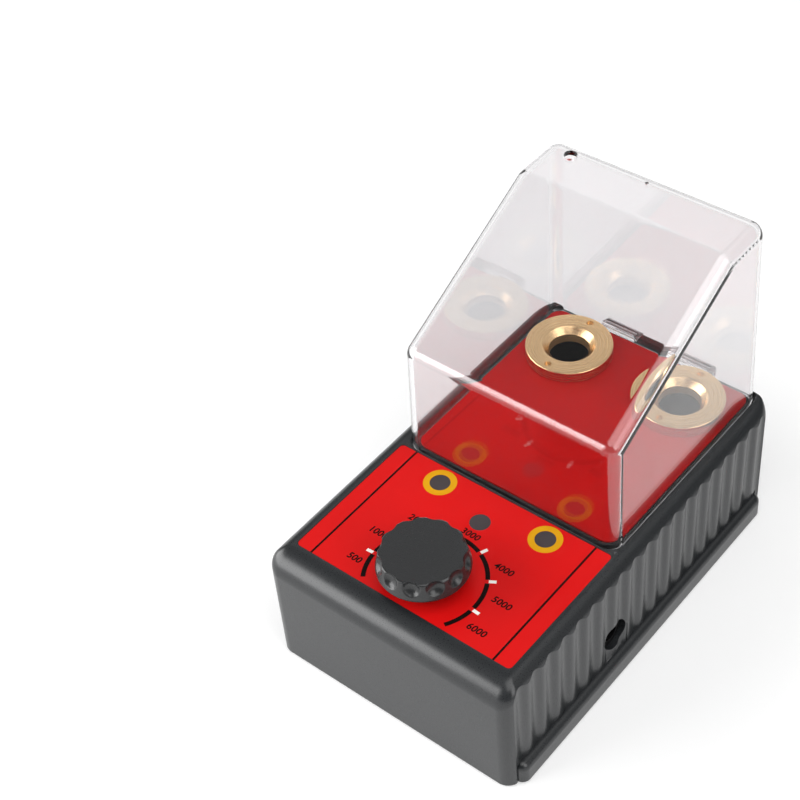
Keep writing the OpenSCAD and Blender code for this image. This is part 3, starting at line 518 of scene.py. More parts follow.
def clear_styrene(name, tint):
    """Clear moulded polystyrene: see-through and shiny, with the slow ripple of a moulded wall."""
    material, tree, surface = start_material(
        name, tint, 0.015, IOR=1.59, Transmission_Weight=1.0)
    place = add_node(tree, "ShaderNodeTexCoord")
    ripple_mm = 25
    ripple = add_node(
        tree, "ShaderNodeTexNoise",
        {"Vector": place.outputs["Object"], "Scale": 1 / (ripple_mm * MM), "Detail": 1.0})
    bump = add_node(
        tree, "ShaderNodeBump", {"Height": ripple.outputs["Fac"], "Strength": 1.0, "Distance": 0.01 * MM})
    tree.links.new(bump.outputs["Normal"], surface.inputs["Normal"])
    return material


def plain_metal(name, base, roughness):
    """Plain drawn or plated metal: satin, with a fine irregular grain."""
    material, tree, surface = start_material(name, base, 0.35, Metallic=1.0)
    grain(tree, surface, 0.4, 0.002, base, 0.04, roughness)
    return material


MATT = {"roughness": (0.5, 0.65), "specular": 0.1}
# Finish of each CAD node that stays, by the record's slot
SLOT_FINISHES = {
    "label_red": ("red_label_film", label_film, "#D01010", {}),
    "inner_brass": ("plain_brass", plain_metal, "#C9A46A", {"roughness": (0.28, 0.4)}),
    "steel": ("plated_steel", plain_metal, "#B9BBBF", {"roughness": (0.25, 0.38)}),
    "aluminium": ("drawn_aluminium", plain_metal, "#C6C8CA", {"roughness": (0.3, 0.45)}),
    "foot_rubber": ("moulded_rubber", moulded_plastic, "#161616", {"roughness": (0.75, 0.9)}),
    "well_plastic": ("phenolic_tube", moulded_plastic, "#080605", MATT),
    "black_potting": ("cast_epoxy", moulded_plastic, "#060607", MATT),
    "red_lead": ("lead_insulation", moulded_plastic, "#8E1A14", {"roughness": (0.3, 0.4)}),
    "board_laminate": ("lacquered_laminate", label_film, "#1B5A2C", {"specular": 0.5}),
    "lens": ("smoked_lens", label_film, "#443E40", {}),
}


# Case

def case_outline(half, depth, corners, side_steps, end_steps, arc_steps=14):
    """Points round the case seen from above, and how far each faces an end: 0 on a side, 1 on an end."""
    front, rear = corners
    arcs = []
    for x, y, radius, first, steps in (
            (half - front, front, front, -90, side_steps), (half - rear, depth - rear, rear, 0, end_steps),
            (rear - half, depth - rear, rear, 90, side_steps), (front - half, front, front, 180, end_steps)):
        turns = [math.radians(first + 90 * i / arc_steps) for i in range(arc_steps + 1)]
        arc = [(x + radius * math.cos(t), y + radius * math.sin(t), math.sin(t) ** 2) for t in turns]
        arcs.append((arc, steps))
    points = []
    for i, (arc, steps) in enumerate(arcs):
        points += arc
        after = arcs[(i + 1) % len(arcs)][0][0]
        for k in range(1, steps):
            points.append(tuple(a + k / steps * (b - a) for a, b in zip(arc[-1], after)))
    points = np.array(points)
    return points[:, :2], points[:, 2]


def case_form(name, half, start, depth, foot, top, radii, corners, side_steps, end_steps, rings=22):
    """A block with round top edges at its sides, front and rear, by radii, and upright ones, by corners."""
    side_r, front_r, rear_r = radii
    outline, facing = case_outline(half, depth, corners, side_steps, end_steps)
    end_r = np.where(outline[:, 1] < depth / 2, front_r, rear_r)
    radius = side_r + (end_r - side_r) * facing
    inner = np.c_[
        np.clip(outline[:, 0], -half + side_r, half - side_r),
        np.clip(outline[:, 1], front_r, depth - rear_r)]
    levels = [np.c_[outline, np.full(len(outline), foot)]]
    for i in range(rings + 1):
        turn = math.pi / 2 * i / rings
        ring = outline + (1 - math.cos(turn)) * (inner - outline)
        levels.append(np.c_[ring, top - radius * (1 - math.sin(turn))])
    return stack(name, [level + np.array([0, start, 0]) for level in levels])


def rib_tree(material):
    """A rule that bends the long sides of a block into a wave of upright ribs, which clears its ends."""
    names = ("Front", "Crest", "First valley", "Pitch", "Count", "Depth", "Release")
    tree, given = start_tree("Side ribs", dict.fromkeys(names, "Float"))
    place = add_node(tree, "GeometryNodeInputPosition")
    axes = add_node(tree, "ShaderNodeSeparateXYZ", {0: place.outputs[0]})
    values = {key: given[key] for key in names} | {key: axes.outputs[key] for key in "XYZ"}
    sums = (
        ("back", "SUBTRACT", "Y", "Front"),
        ("past", "SUBTRACT", "back", "First valley"),
        ("turns", "DIVIDE", "past", "Pitch"),
        ("last", "ADD", "Count", 0.5),
        ("early", "MINIMUM", "turns", "last"),
        ("within", "MAXIMUM", "early", -0.5),
        ("angle", "MULTIPLY", "within", 2 * math.pi),
        ("wave", "COSINE", "angle"),
        ("share", "MULTIPLY_ADD", "wave", 0.5, 0.5),
        ("valley", "MULTIPLY", "share", "Depth"),
        ("ribbed", "SUBTRACT", "Crest", "valley"),
        # Past the first and the last crest the wave steps out of the block
        ("beyond", "SUBTRACT", "turns", "within"),
        ("far", "ABSOLUTE", "beyond"),
        ("steep", "MULTIPLY", "far", 4.0),
        ("ramp", "MINIMUM", "steep", 1.0),
        ("limit", "MULTIPLY_ADD", "ramp", "Release", "ribbed"),
        ("side", "SIGN", "X"),
        ("across", "MULTIPLY", "limit", "side"))
    for name, operation, *terms in sums:
        links = {i: values.get(term, term) for i, term in enumerate(terms)}
        values[name] = add_node(tree, "ShaderNodeMath", links, operation=operation).outputs[0]
    moved = add_node(
        tree, "ShaderNodeCombineXYZ", {"X": values["across"], "Y": values["Y"], "Z": values["Z"]})
    shaped = add_node(
        tree, "GeometryNodeSetPosition", {"Geometry": given["Geometry"], "Position": moved.outputs[0]})
    return end_tree(tree, shaped.outputs[0], material)


def ribbed_block(case, material):
    """A block round the whole case whose two long sides are the wave of ribs."""
    clear = 2 * MM
    steps = 24 * (case.rib_count + 2)
    ends = (FRONT - clear, FRONT + case.depth + clear)
    run = [ends[0] + (ends[1] - ends[0]) * i / steps for i in range(steps + 1)]
    outline = [(HALF_WIDTH, y) for y in run] + [(-HALF_WIDTH, y) for y in reversed(run)]
    waves = prism(outline, "Z", FOOT - clear, TOP + clear)
    return by_rule(waves, rib_tree(material), {
        "Front": FRONT, "Crest": HALF_WIDTH - case.rib_inset, "First valley": case.rib_start,
        "Pitch": case.rib_pitch, "Count": case.rib_count, "Depth": case.rib_depth,
        "Release": case.rib_inset + 0.5 * MM})


def case_cutters(case, hood):
    """Everything that is cut out of the solid case."""
    wall = case.wall
    gap = 0.3 * MM
    above = TOP + 6 * MM
    inner_half = RAIL_LAP + 0.4 * MM - wall
    inner_corners = (1.5 * MM, 1.5 * MM)
    cutters = [case_form(
        "cavity", inner_half, FRONT + wall, case.depth - 2 * wall, FOOT - MM, TOP - wall,
        (case.edge_radius - wall, case.front_radius - wall, case.rear_radius), inner_corners, 12, 8, 8)]
    label_room = 0.1 * MM
    seat = LABEL_LOW.z
    cutters.append(prism(rounded_outline(
        (LABEL_LOW.x - label_room, LABEL_LOW.y - label_room),
        (LABEL_HIGH.x + label_room, LABEL_HIGH.y + label_room), 1.5 * MM), "Z", seat, above))
    # The hood's platform and the groove round it
    outer = HOOD_HIGH.x + gap
    groove = HOOD_HIGH.x - hood.wall - gap
    start = FRONT + hood.front
    end = FRONT + hood.rear
    floor = TOP - 2 * MM
    far = FRONT + case.depth + 0.2 * MM
    inner_start = start + hood.wall + gap
    inner_end = end - hood.wall - gap
    corner = hood.edge_radius + gap
    edge = case.groove_edge

    def seat_outline(grown):
        return rounded_outline(
            (-outer - grown, start - gap - grown), (outer + grown, far + grown), corner + grown)

    cutters.append(loft(
        [(seat_outline(0), seat), (seat_outline(0), TOP - edge), (seat_outline(edge), TOP),
         (seat_outline(edge + above - TOP), above)], "Z"))
    channel = prism(seat_outline(0), "Z", floor, seat + MM)
    inside = rounded_outline((-groove, inner_start), (groove, inner_end), 4 * MM)
    cutters.append(combine(channel, [prism(inside, "Z", floor - MM, above)], "DIFFERENCE"))
    # Holes in the top: latch, potentiometer and sockets
    latch_half = 5.3 * MM
    cutters.append(block((-latch_half, start, TOP - 2 * wall), (latch_half, start + 2 * MM, above)))
    knob = middle((KNOB_LOW, KNOB_HIGH))
    bush_hole, spigot_hole = 3.6 * MM, 10.65 * MM
    cutters.append(prism(circle((knob.x, knob.y), bush_hole), "Z", TOP - 2 * wall, above))
    for box in SOCKET_BOXES.values():
        place = middle(box)
        cutters.append(prism(circle((place.x, place.y), spigot_hole), "Z", TOP - 2 * wall, above))
    # Rails, tongue and inlet
    base_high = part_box("base_cover")[1]
    slack = 0.1 * MM
    for side in SIDES.values():
        near, far_x = sorted((side * RAIL_LAP, side * base_high.x))
        cutters.append(block((near, RAIL_START - slack, FOOT - MM), (far_x, RAIL_END + slack, RAIL_TOP)))
        near, far_x = sorted((side * (inner_half - 2 * MM), side * (RAIL_LAP + 0.3 * MM)))
        cutters.append(block(
            (near, RAIL_START - slack, FOOT - MM), (far_x, RAIL_END + slack, FOOT + 2.8 * MM)))
    inlet = middle((INLET_LOW, INLET_HIGH))
    half_tongue, inlet_hole = 6.4 * MM, 5.5 * MM
    cutters.append(block(
        (inner_half - MM, inlet.y - half_tongue, FOOT - MM), (base_high.x, inlet.y + half_tongue, inlet.z)))
    cutters.append(prism(circle((inlet.y, inlet.z), inlet_hole), "X", inner_half - MM, base_high.x))
    return cutters


def hinge_lug(half):
    """The case's own knuckle between the hood's two: a round bar on a web, seen in Y and Z."""
    axis = middle((PIN_LOW, PIN_HIGH))
    radius = CASE_HIGH.y - axis.y
    wall_y = axis.y - radius - MM
    turns = [math.radians(-90 + 180 * i / 24) for i in range(25)]
    outline = [(axis.y + radius * math.cos(t), axis.z + radius * math.sin(t)) for t in turns]
    outline += [
        (axis.y - 1.2 * MM, axis.z + radius), (wall_y, axis.z + radius - MM), (wall_y, axis.z - radius)]
    return prism(outline, "X", -half, half)


class TESTER_OT_case(bpy.types.Operator):
    """Moulds the ribbed case"""

    bl_idname = "tester.case"
    bl_label = "Case"

    def execute(self, context):
        case = context.scene.tester_case
        hood = context.scene.tester_hood
        plastic = moulded_plastic("moulded_abs_case", case.plastic[:])
        shell = case_form(
            "case_shell", HALF_WIDTH, FRONT, case.depth, FOOT, TOP,
            (case.edge_radius, case.front_radius, case.rear_radius),
            (case.corner_radius, case.rear_corner_radius), side_steps=40, end_steps=24)
        combine(shell, [ribbed_block(case, plastic)], "INTERSECT")
        combine(shell, case_cutters(case, hood), "DIFFERENCE")
        combine(shell, [hinge_lug(LUG_HALF)], "UNION")
        finish(shell, plastic, 15)
        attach(shell, "case")
        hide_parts("housing_top")
        # The base's tongue fills a gap in the ribs, so it carries them on
        base = new_piece("base_tray", [], [])
        base.data = frame["nodes"]["base_cover"].data.copy()
        tidy(base)
        inlet = middle((INLET_LOW, INLET_HIGH))
        reach = 8 * MM
        outside = block(
            (inlet.x, inlet.y - reach, FOOT + 8.5 * MM),
            (HALF_WIDTH + 4 * MM, inlet.y + reach, inlet.z + reach))
        combine(outside, [ribbed_block(case, plastic)], "DIFFERENCE")
        base_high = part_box("base_cover")[1]
        mouth = prism(circle((inlet.y, inlet.z), 5.52 * MM, 128), "X", inlet.x, base_high.x + MM)
        combine(base, [outside, mouth], "DIFFERENCE")
        # Smooth rails with round noses in place of the base's own, which keep clear of the round rear corners
        nose = 2.6 * MM
        rails = case_form(
            "rails", base_high.x, RAIL_START, RAIL_END - RAIL_START, FOOT, RAIL_TOP, (nose, nose, nose),
            (1.2 * nose, 1.2 * nose), side_steps=8, end_steps=4, rings=10)
        inner = RAIL_LAP + 0.15 * MM
        clear = MM
        start, end = FRONT - clear, FRONT + case.depth + clear
        combine(rails, [block((-inner, start, FOOT - clear), (inner, end, RAIL_TOP + clear))], "DIFFERENCE")
        worn = []
        for side in SIDES.values():
            near, far_x = sorted((side * (inner + 0.05 * MM), side * (base_high.x + clear)))
            worn.append(block((near, start, FOOT - clear), (far_x, end, RAIL_TOP + 0.01 * MM)))
            near, far_x = sorted((side * (RAIL_LAP - 2.9 * MM), side * (base_high.x + clear)))
            worn.append(block((near, RAIL_END, FOOT - clear), (far_x, end, RAIL_TOP + clear)))
        combine(base, worn, "DIFFERENCE")
        combine(base, [rails], "UNION")
        finish(base, plastic, 25)
        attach(base, "case")
        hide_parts("base_cover")
        return {"FINISHED"}


# Labels

def round_tree(material):
    """A rule that sets copies of an object round an upright axis."""
    tree, given = start_tree("Round an axis", {
        "Copied": "Object", "Count": "Int", "First angle": "Float", "Step": "Float", "Centre": "Vector"})
    copied = add_node(
        tree, "GeometryNodeObjectInfo", {"Object": given["Copied"]}, transform_space="ORIGINAL")
    points = add_node(
        tree, "GeometryNodeMeshLine",
        {"Count": given["Count"], "Start Location": given["Centre"], "Offset": (0, 0, 0)}, mode="OFFSET")
    index = add_node(tree, "GeometryNodeInputIndex")
    turn = add_node(
        tree, "ShaderNodeMath", {0: index.outputs[0], 1: given["Step"], 2: given["First angle"]},
        operation="MULTIPLY_ADD")
    turned = add_node(tree, "ShaderNodeCombineXYZ", {"Z": turn.outputs[0]})
    placed = add_node(
        tree, "GeometryNodeInstanceOnPoints",
        {"Points": points.outputs[0], "Instance": copied.outputs["Geometry"], "Rotation": turned.outputs[0]})
    return end_tree(tree, placed.outputs[0], material)


def ring_sector(inner, outer, first, last, low, high, steps=14):
    """A thin curved bar about the origin, between two angles from +X."""
    turns = [first + (last - first) * i / steps for i in range(steps + 1)]
    outline = [(outer * math.cos(t), outer * math.sin(t)) for t in turns]
    outline += [(inner * math.cos(t), inner * math.sin(t)) for t in reversed(turns)]
    return prism(outline, "Z", low, high)


def join(name, parts):
    """Makes one piece of separate parts and removes them."""
    made = bmesh.new()
    for part in parts:
        made.from_mesh(part.data)
        bpy.data.meshes.remove(part.data)
    piece = new_piece(name, [], [])
    made.to_mesh(piece.data)
    made.free()
    return piece


def around(name, part, tree, centre, count, first, step):
    """Sets a part round a centre by the rule and removes the part."""
    piece = new_piece(name, [], [])
    by_rule(piece, tree, {
        "Copied": part, "Count": count, "First angle": first, "Step": step, "Centre": centre})
    bpy.data.meshes.remove(part.data)
    return tidy(piece)


def figure(body, place, height, rise):
    """One figure of the dial as a solid, with its middle at a place."""
    # Height of a figure as a share of the font's size
    share = 0.7
    curve = bpy.data.curves.new(body, "FONT")
    curve.body = body
    curve.align_x = "CENTER"
    curve.align_y = "CENTER"
    curve.size = height / share
    curve.shear = 0.1
    curve.space_character = 1.02
    curve.offset = 0.03 * height
    curve.extrude = rise
    curve.resolution_u = 4
    holder = bpy.data.objects.new(body, curve)
    bpy.context.scene.collection.objects.link(holder)
    graph = bpy.context.evaluated_depsgraph_get()
    mesh = bpy.data.meshes.new_from_object(holder.evaluated_get(graph), depsgraph=graph)
    bpy.data.objects.remove(holder)
    bpy.data.curves.remove(curve)
    mesh.transform(Matrix.Translation(place))
    piece = bpy.data.objects.new(body, mesh)
    bpy.context.scene.collection.objects.link(piece)
    return tidy(piece)


class TESTER_OT_labels(bpy.types.Operator):
    """Prints the dial, its figures, the lines and the lamp rings on the labels"""

    bl_idname = "tester.labels"
    bl_label = "Labels"

    def execute(self, context):
        label = context.scene.tester_label
        black = print_ink("black_screen_ink", label.black[:])
        white = print_ink("white_screen_ink", label.white[:])
        yellow = print_ink("yellow_screen_ink", label.yellow[:])
        low = LABEL_TOP - label.print_rise
        high = LABEL_TOP + label.print_rise
        dial = middle((KNOB_LOW, KNOB_HIGH))
        centre = Vector((dial.x, dial.y, 0))
        top = math.pi / 2
        # Stretches of arc, with a white tick in each gap between them
        half = label.sweep / 2
        marks = [label.tick_first + i * label.tick_step for i in range(3)]
        stops = [-half, *(-m for m in reversed(marks)), *marks, half]
        inner = label.arc_radius - label.arc_width / 2
        outer = label.arc_radius + label.arc_width / 2
        room = label.tick_gap / 2
        sectors = []
        for first, last in zip(stops, stops[1:]):
            first += 0 if first == -half else room
            last -= 0 if last == half else room
            sectors.append(ring_sector(inner, outer, top - last, top - first, low, high))
        arc = join("dial_arc", sectors)
        arc.data.transform(Matrix.Translation(centre))
        start = label.arc_radius + 0.4 * MM
        end = start + label.tick_length
        wide = label.tick_width / 2
        ticks = []
        for way in (-1, 1):
            tick = prism([(start, -wide), (end, -wide), (end, wide), (start, wide)], "Z", low, high)
            ticks.append(around(
                "ticks", tick, round_tree(white), centre, len(marks), top - way * marks[0],
                -way * label.tick_step))
        words = []
        for body, (x, y) in FIGURES:
            place = Vector((dial.x + x * MM, dial.y + y * MM, LABEL_TOP))
            words.append(figure(body, place, label.number_height, label.print_rise))
        lines = []
        for side in SIDES.values():
            x = side * label.line_x
            edge = label.line_width / 2
            lines.append(block((x - edge, LABEL_LOW.y, low), (x + edge, LABEL_HIGH.y, high)))
        pieces = [
            finish(arc, black, 30), finish(join("dial_ticks", ticks), white, 30),
            finish(join("dial_figures", words), black, 30), finish(join("edge_lines", lines), black, 30)]
        for side in SIDES:
            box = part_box(f"hv_window_{side}")
            window = middle(box)
            inside = box[1].x - window.x + 0.05 * MM
            outside = label.ring_outer / 2
            profile = [(inside, low), (outside, low), (outside, high), (inside, high)]
            ring = tidy(lathe(f"lamp_ring_{side}", profile, window, 96))
            pieces.append(finish(ring, yellow, 30))
        for piece in pieces:
            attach(piece, "case")
        return {"FINISHED"}


# Hood

def hood_profile(hood, inset, steps=24):
    """The hood seen from the side as distance and height, from its front foot over the top to the rear."""
    top, foot = HOOD_HIGH.z, HOOD_FOOT
    rise = top - foot
    fold_z = TOP + hood.fold_height
    front, rear = FRONT + hood.front, FRONT + hood.rear
    corners = [np.array(p) for p in (
        (front, foot), (front + hood.lean * (fold_z - foot) / rise, fold_z), (FRONT + hood.bend, top),
        (rear - hood.lean, top), (rear, foot))]
    radii = (0, hood.fold_radius, hood.fold_radius, hood.edge_radius, 0)
    points = [(front + inset, foot)]
    for before, here, after, full in zip(corners, corners[1:], corners[2:], radii[1:]):
        a = (before - here) / np.linalg.norm(before - here)
        b = (after - here) / np.linalg.norm(after - here)
        way = (a + b) / np.linalg.norm(a + b)
        heart = here + way * full / math.sin(math.acos(a @ b) / 2)
        # From square to the run before to square to the run after, on the outside of the corner
        first = math.atan2(-a[0], a[1])
        last = math.atan2(b[0], -b[1])
        last -= 2 * math.pi * round((last - first) / (2 * math.pi))
        radius = max(full - inset, 0.2 * MM)
        for k in range(steps + 1):
            turn = first + (last - first) * k / steps
            points.append((heart[0] + radius * math.cos(turn), heart[1] + radius * math.sin(turn)))
    points.append((rear - inset, foot))
    return points


def hood_skin(hood, inset, steps=32):
    """One skin of the hood as levels of points across its width, drawn in by a distance from the outside."""
    radius = hood.edge_radius - inset
    half = HOOD_HIGH.x - inset
    rise = HOOD_HIGH.z - HOOD_FOOT
    levels = []
    for side in (-1, 1):
        for k in range(steps + 1):
            turn = math.pi / 2 * (1 - k / steps if side < 0 else k / steps)
            across = half - radius + radius * math.sin(turn)
            profile = hood_profile(hood, inset + radius * (1 - math.cos(turn)))
            levels.append([
                (side * (across - hood.lean * (z - HOOD_FOOT) / rise), y, z) for y, z in profile])
    return levels


def hood_shell(hood):
    """The hood's two skins, joined by a flat rim at the foot."""
    skins = [hood_skin(hood, 0.0), hood_skin(hood, hood.wall)]
    rows, cols = len(skins[0]), len(skins[0][0])
    points = [p for skin in skins for level in skin for p in level]
    faces = []
    for skin in (0, 1):
        base = skin * rows * cols
        for j in range(rows - 1):
            for i in range(cols - 1):
                a = base + j * cols + i
                quad = (a, a + cols, a + cols + 1, a + 1)
                faces.append(quad if skin else quad[::-1])
        left = tuple(base + i for i in range(cols))
        right = tuple(base + (rows - 1) * cols + i for i in range(cols))
        faces += [left[::-1], right] if skin else [left, right[::-1]]
    loop = [j * cols for j in range(rows)] + [j * cols + cols - 1 for j in reversed(range(rows))]
    shift = rows * cols
    for a, b in zip(loop, loop[1:] + loop[:1]):
        faces.append((a, b, b + shift, a + shift))
    return tidy(new_piece("hood_shell", points, faces))


def hood_ear(hood, start, end, open_angle):
    """One knuckle of the hood: its arm, its round eye and the heel that stops it, as solids to be joined."""
    axis = middle((PIN_LOW, PIN_HIGH))
    radius = HOOD_HIGH.y - axis.y
    wall = FRONT + hood.rear - axis.y
    foot = HOOD_FOOT - axis.z
    arm = [
        (wall - 1.2 * MM, foot), (-radius + 0.1 * MM, foot), (-radius, 0), (radius, 0),
        (radius - 0.6 * MM, 2.2 * MM), (0.5 * MM, foot + 1.6 * MM), (wall, foot + 3.4 * MM),
        (wall - 1.2 * MM, foot + 3.4 * MM)]
    reach = radius + 0.45 * MM
    heel = [(-reach, -1.5 * MM), (0, -1.5 * MM), (0, 0), (-reach, 0)]
    turn = Matrix.Rotation(open_angle, 2)
    heel = [tuple(turn @ Vector(p)) for p in heel]
    solids = []
    for outline in (arm, circle((0, 0), radius, 48), heel):
        solids.append(prism([(axis.y + a, axis.z + b) for a, b in outline], "X", start, end))
    return solids


class TESTER_OT_hood(bpy.types.Operator):
    """Makes the clear hood with its knuckles, latch and vent"""

    bl_idname = "tester.hood"
    bl_label = "Hood"

    def execute(self, context):
        hood = context.scene.tester_hood
        shell = hood_shell(hood)
        pin = middle((PIN_LOW, PIN_HIGH))
        hinge = next(j for j in frame["joints"] if j["name"] == "hood_hinge")
        open_angle = math.radians(hinge["range_deg"][1])
        ear_end = PIN_HIGH.x - 0.2 * MM
        ear_start = LUG_HALF + 0.3 * MM
        additions = []
        for side in SIDES.values():
            start, end = sorted((side * ear_start, side * ear_end))
            additions += hood_ear(hood, start, end, open_angle)
        latch_y = FRONT + hood.front + 0.3 * MM
        latch_half = 5 * MM
        hook = 0.25 * MM
        additions.append(block(
            (-latch_half, latch_y, HOOD_LOW.z), (latch_half, latch_y + 1.4 * MM, HOOD_FOOT + MM)))
        additions.append(block(
            (-latch_half, latch_y - hook, HOOD_LOW.z), (latch_half, latch_y + hook, HOOD_LOW.z + MM)))
        combine(shell, additions, "UNION")
        eye = (PIN_HIGH.z - PIN_LOW.z) / 2 + 0.05 * MM
        vent = (-hood.vent_x, FRONT + hood.vent_back)
        gate = (-MM, FRONT + hood.vent_back + MM)
        cuts = [
            prism(circle((pin.y, pin.z), eye, 32), "X", -ear_end - MM, ear_end + MM),
            prism(circle(vent, hood.vent / 2, 40), "Z", HOOD_HIGH.z - 4 * MM, HOOD_HIGH.z + 2 * MM),
            prism(circle(gate, 0.6 * MM, 16), "Z", HOOD_HIGH.z - 0.7 * MM, HOOD_HIGH.z + MM)]
        combine(shell, cuts, "DIFFERENCE")
        finish(shell, clear_styrene("clear_polystyrene", hood.tint[:]), 24)
        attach(shell, "hood")
        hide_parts("clear_hood")
        return {"FINISHED"}


# Sockets

def socket_profile(socket, box):
    """A socket's half outline as radius and height, from the foot of its bore up and round."""
    flange = (box[1].x - box[0].x) / 2
    low, high = box[0].z, box[1].z
    seat = LABEL_TOP
    bore, sink, sleeve = socket.bore / 2, socket.countersink / 2, socket.sleeve / 2
    cone = sink - bore
    soft = 0.18 * MM
    edge = 0.5 * MM
    lip = high - cone - socket.lip
    return [
        (sleeve, low), (sleeve, lip), (bore, lip), (bore, high - cone - 2 * soft),
        (bore + 0.3 * soft, high - cone - 0.6 * soft), (bore + soft, high - cone + soft),
        (sink - soft, high - soft), (sink, high - 0.3 * soft), (sink + soft, high), (flange - edge, high),
        (flange - 0.45 * edge, high - 0.12 * edge), (flange - 0.12 * edge, high - 0.45 * edge),
        (flange, high - edge), (flange, seat + edge), (flange - edge, seat), (socket.spigot / 2, seat),
        (socket.spigot / 2, low)]


class TESTER_OT_sockets(bpy.types.Operator):
    """Turns the two brass plug sockets"""

    bl_idname = "tester.sockets"
    bl_label = "Sockets"

    def execute(self, context):
        socket = context.scene.tester_socket
        profile = socket_profile(socket, SOCKET_BOXES["left"])
        runs = [math.dist(start, end) / MM for start, end in zip(profile, profile[1:])]
        brass = turned_brass("turned_brass", socket.brass[:], (sum(runs[:2]), sum(runs[:3])))
        for side, box in SOCKET_BOXES.items():
            place = middle(box)
            high = box[1].z
            ring = tidy(lathe(f"socket_{side}", socket_profile(socket, box), place, 160))
            holes = []
            for way in (-1, 1):
                centre = (place.x, place.y + way * socket.spanner_place)
                holes.append(prism(
                    circle(centre, socket.spanner_hole / 2, 32), "Z", high - socket.spanner_depth, high + MM))
            combine(ring, holes, "DIFFERENCE")
            finish(ring, brass, 30)
            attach(ring, "case")
            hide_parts(f"plug_socket_{side}")
        return {"FINISHED"}


# Knob

def grip_tree(material):
    """A rule that scoops balls out of the rim of a turned knob, by drawing its surface in to each ball."""
    names = ("Count", "Turn", "Ball radius", "Ball place", "Ball height", "Lowest", "Softening")
    tree, given = start_tree("Finger grips", {"Centre": "Vector", **dict.fromkeys(names, "Float")})
    place = add_node(tree, "GeometryNodeInputPosition")
    local = add_node(
        tree, "ShaderNodeVectorMath", {0: place.outputs[0], 1: given["Centre"]}, operation="SUBTRACT")
    axes = add_node(tree, "ShaderNodeSeparateXYZ", {0: local.outputs[0]})
    values = {key: given[key] for key in names} | {key: axes.outputs[key] for key in "XYZ"}
    sums = (
        ("x squared", "MULTIPLY", "X", "X"),
        ("out squared", "MULTIPLY_ADD", "Y", "Y", "x squared"),
        ("out", "SQRT", "out squared"),
        # Angle from the nearest ball
        ("bearing", "ARCTAN2", "Y", "X"),
        ("angle", "SUBTRACT", "bearing", "Turn"),
        ("whole", "DIVIDE", 2 * math.pi, "Count"),
        ("grips", "DIVIDE", "angle", "whole"),
        ("nearest", "ROUND", "grips"),
        ("off", "SUBTRACT", "grips", "nearest"),
        ("swing", "MULTIPLY", "off", "whole"),
        # Where a ray from the axis meets the ball
        ("cosine", "COSINE", "swing"),
        ("sine", "SINE", "swing"),
        ("ahead", "MULTIPLY", "cosine", "Ball place"),
        ("aside", "MULTIPLY", "sine", "Ball place"),
        ("above", "SUBTRACT", "Z", "Ball height"),
        ("aside squared", "MULTIPLY", "aside", "aside"),
        ("missed", "MULTIPLY_ADD", "above", "above", "aside squared"),
        ("radius squared", "MULTIPLY", "Ball radius", "Ball radius"),
        ("left", "SUBTRACT", "radius squared", "missed"),
        ("inside", "MAXIMUM", "left", 0.0),
        ("chord", "SQRT", "inside"),
        ("limit", "SUBTRACT", "ahead", "chord"),
        ("pressed", "SMOOTH_MIN", "out", "limit", "Softening"),
        ("ratio", "DIVIDE", "pressed", "out"),
        ("new x", "MULTIPLY", "X", "ratio"),
        ("new y", "MULTIPLY", "Y", "ratio"),
        ("high", "GREATER_THAN", "Z", "Lowest"))
    for name, operation, *terms in sums:
        links = {i: values.get(term, term) for i, term in enumerate(terms)}
        values[name] = add_node(tree, "ShaderNodeMath", links, operation=operation).outputs[0]
    moved = add_node(
        tree, "ShaderNodeCombineXYZ", {"X": values["new x"], "Y": values["new y"], "Z": values["Z"]})
    back = add_node(tree, "ShaderNodeVectorMath", {0: moved.outputs[0], 1: given["Centre"]}, operation="ADD")
    shaped = add_node(
        tree, "GeometryNodeSetPosition",
        {"Geometry": given["Geometry"], "Selection": values["high"], "Position": back.outputs[0]})
    return end_tree(tree, shaped.outputs[0], material)


def knob_profile(knob):
    """The knob's half outline as radius and height, closed round its hollow."""
    low, high = KNOB_LOW.z, KNOB_HIGH.z
    under = low + knob.lift
    wide = (KNOB_HIGH.x - KNOB_LOW.x) / 2
    top = knob.top_diameter / 2
    shaft_low, shaft_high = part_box("pot_shaft")
    shaft = (shaft_high.x - shaft_low.x) / 2
    recess = low + 3 * MM
    profile = [
        (shaft, recess), (knob.recess / 2, recess), (knob.recess / 2, low), (knob.hub / 2 - 0.2 * MM, low),
        (knob.hub / 2, low + 0.2 * MM), (knob.hub / 2, under), (wide - knob.rim, under)]
    steps = 8
    for i in range(1, steps + 1):
        turn = math.pi / 2 * i / steps
        profile.append((wide - knob.rim * (1 - math.sin(turn)), under + knob.rim * (1 - math.cos(turn))))
    rim = under + knob.rim
    rows = 36
    for i in range(1, rows + 1):
        share = i / rows
        profile.append((wide + (top - wide) * share, rim + (high - knob.edge - rim) * share))
    edge_rows = 24
    for i in range(1, edge_rows + 1):
        turn = math.pi / 2 * i / edge_rows
        profile.append((top - knob.edge * (1 - math.cos(turn)), high - knob.edge * (1 - math.sin(turn))))
    rings = 16
    for i in range(1, rings + 1):
        profile.append((top - knob.edge - 2.5 * MM * i / rings, high))
    return profile + [(0.02 * MM, high), (0.02 * MM, shaft_high.z), (shaft, shaft_high.z)]


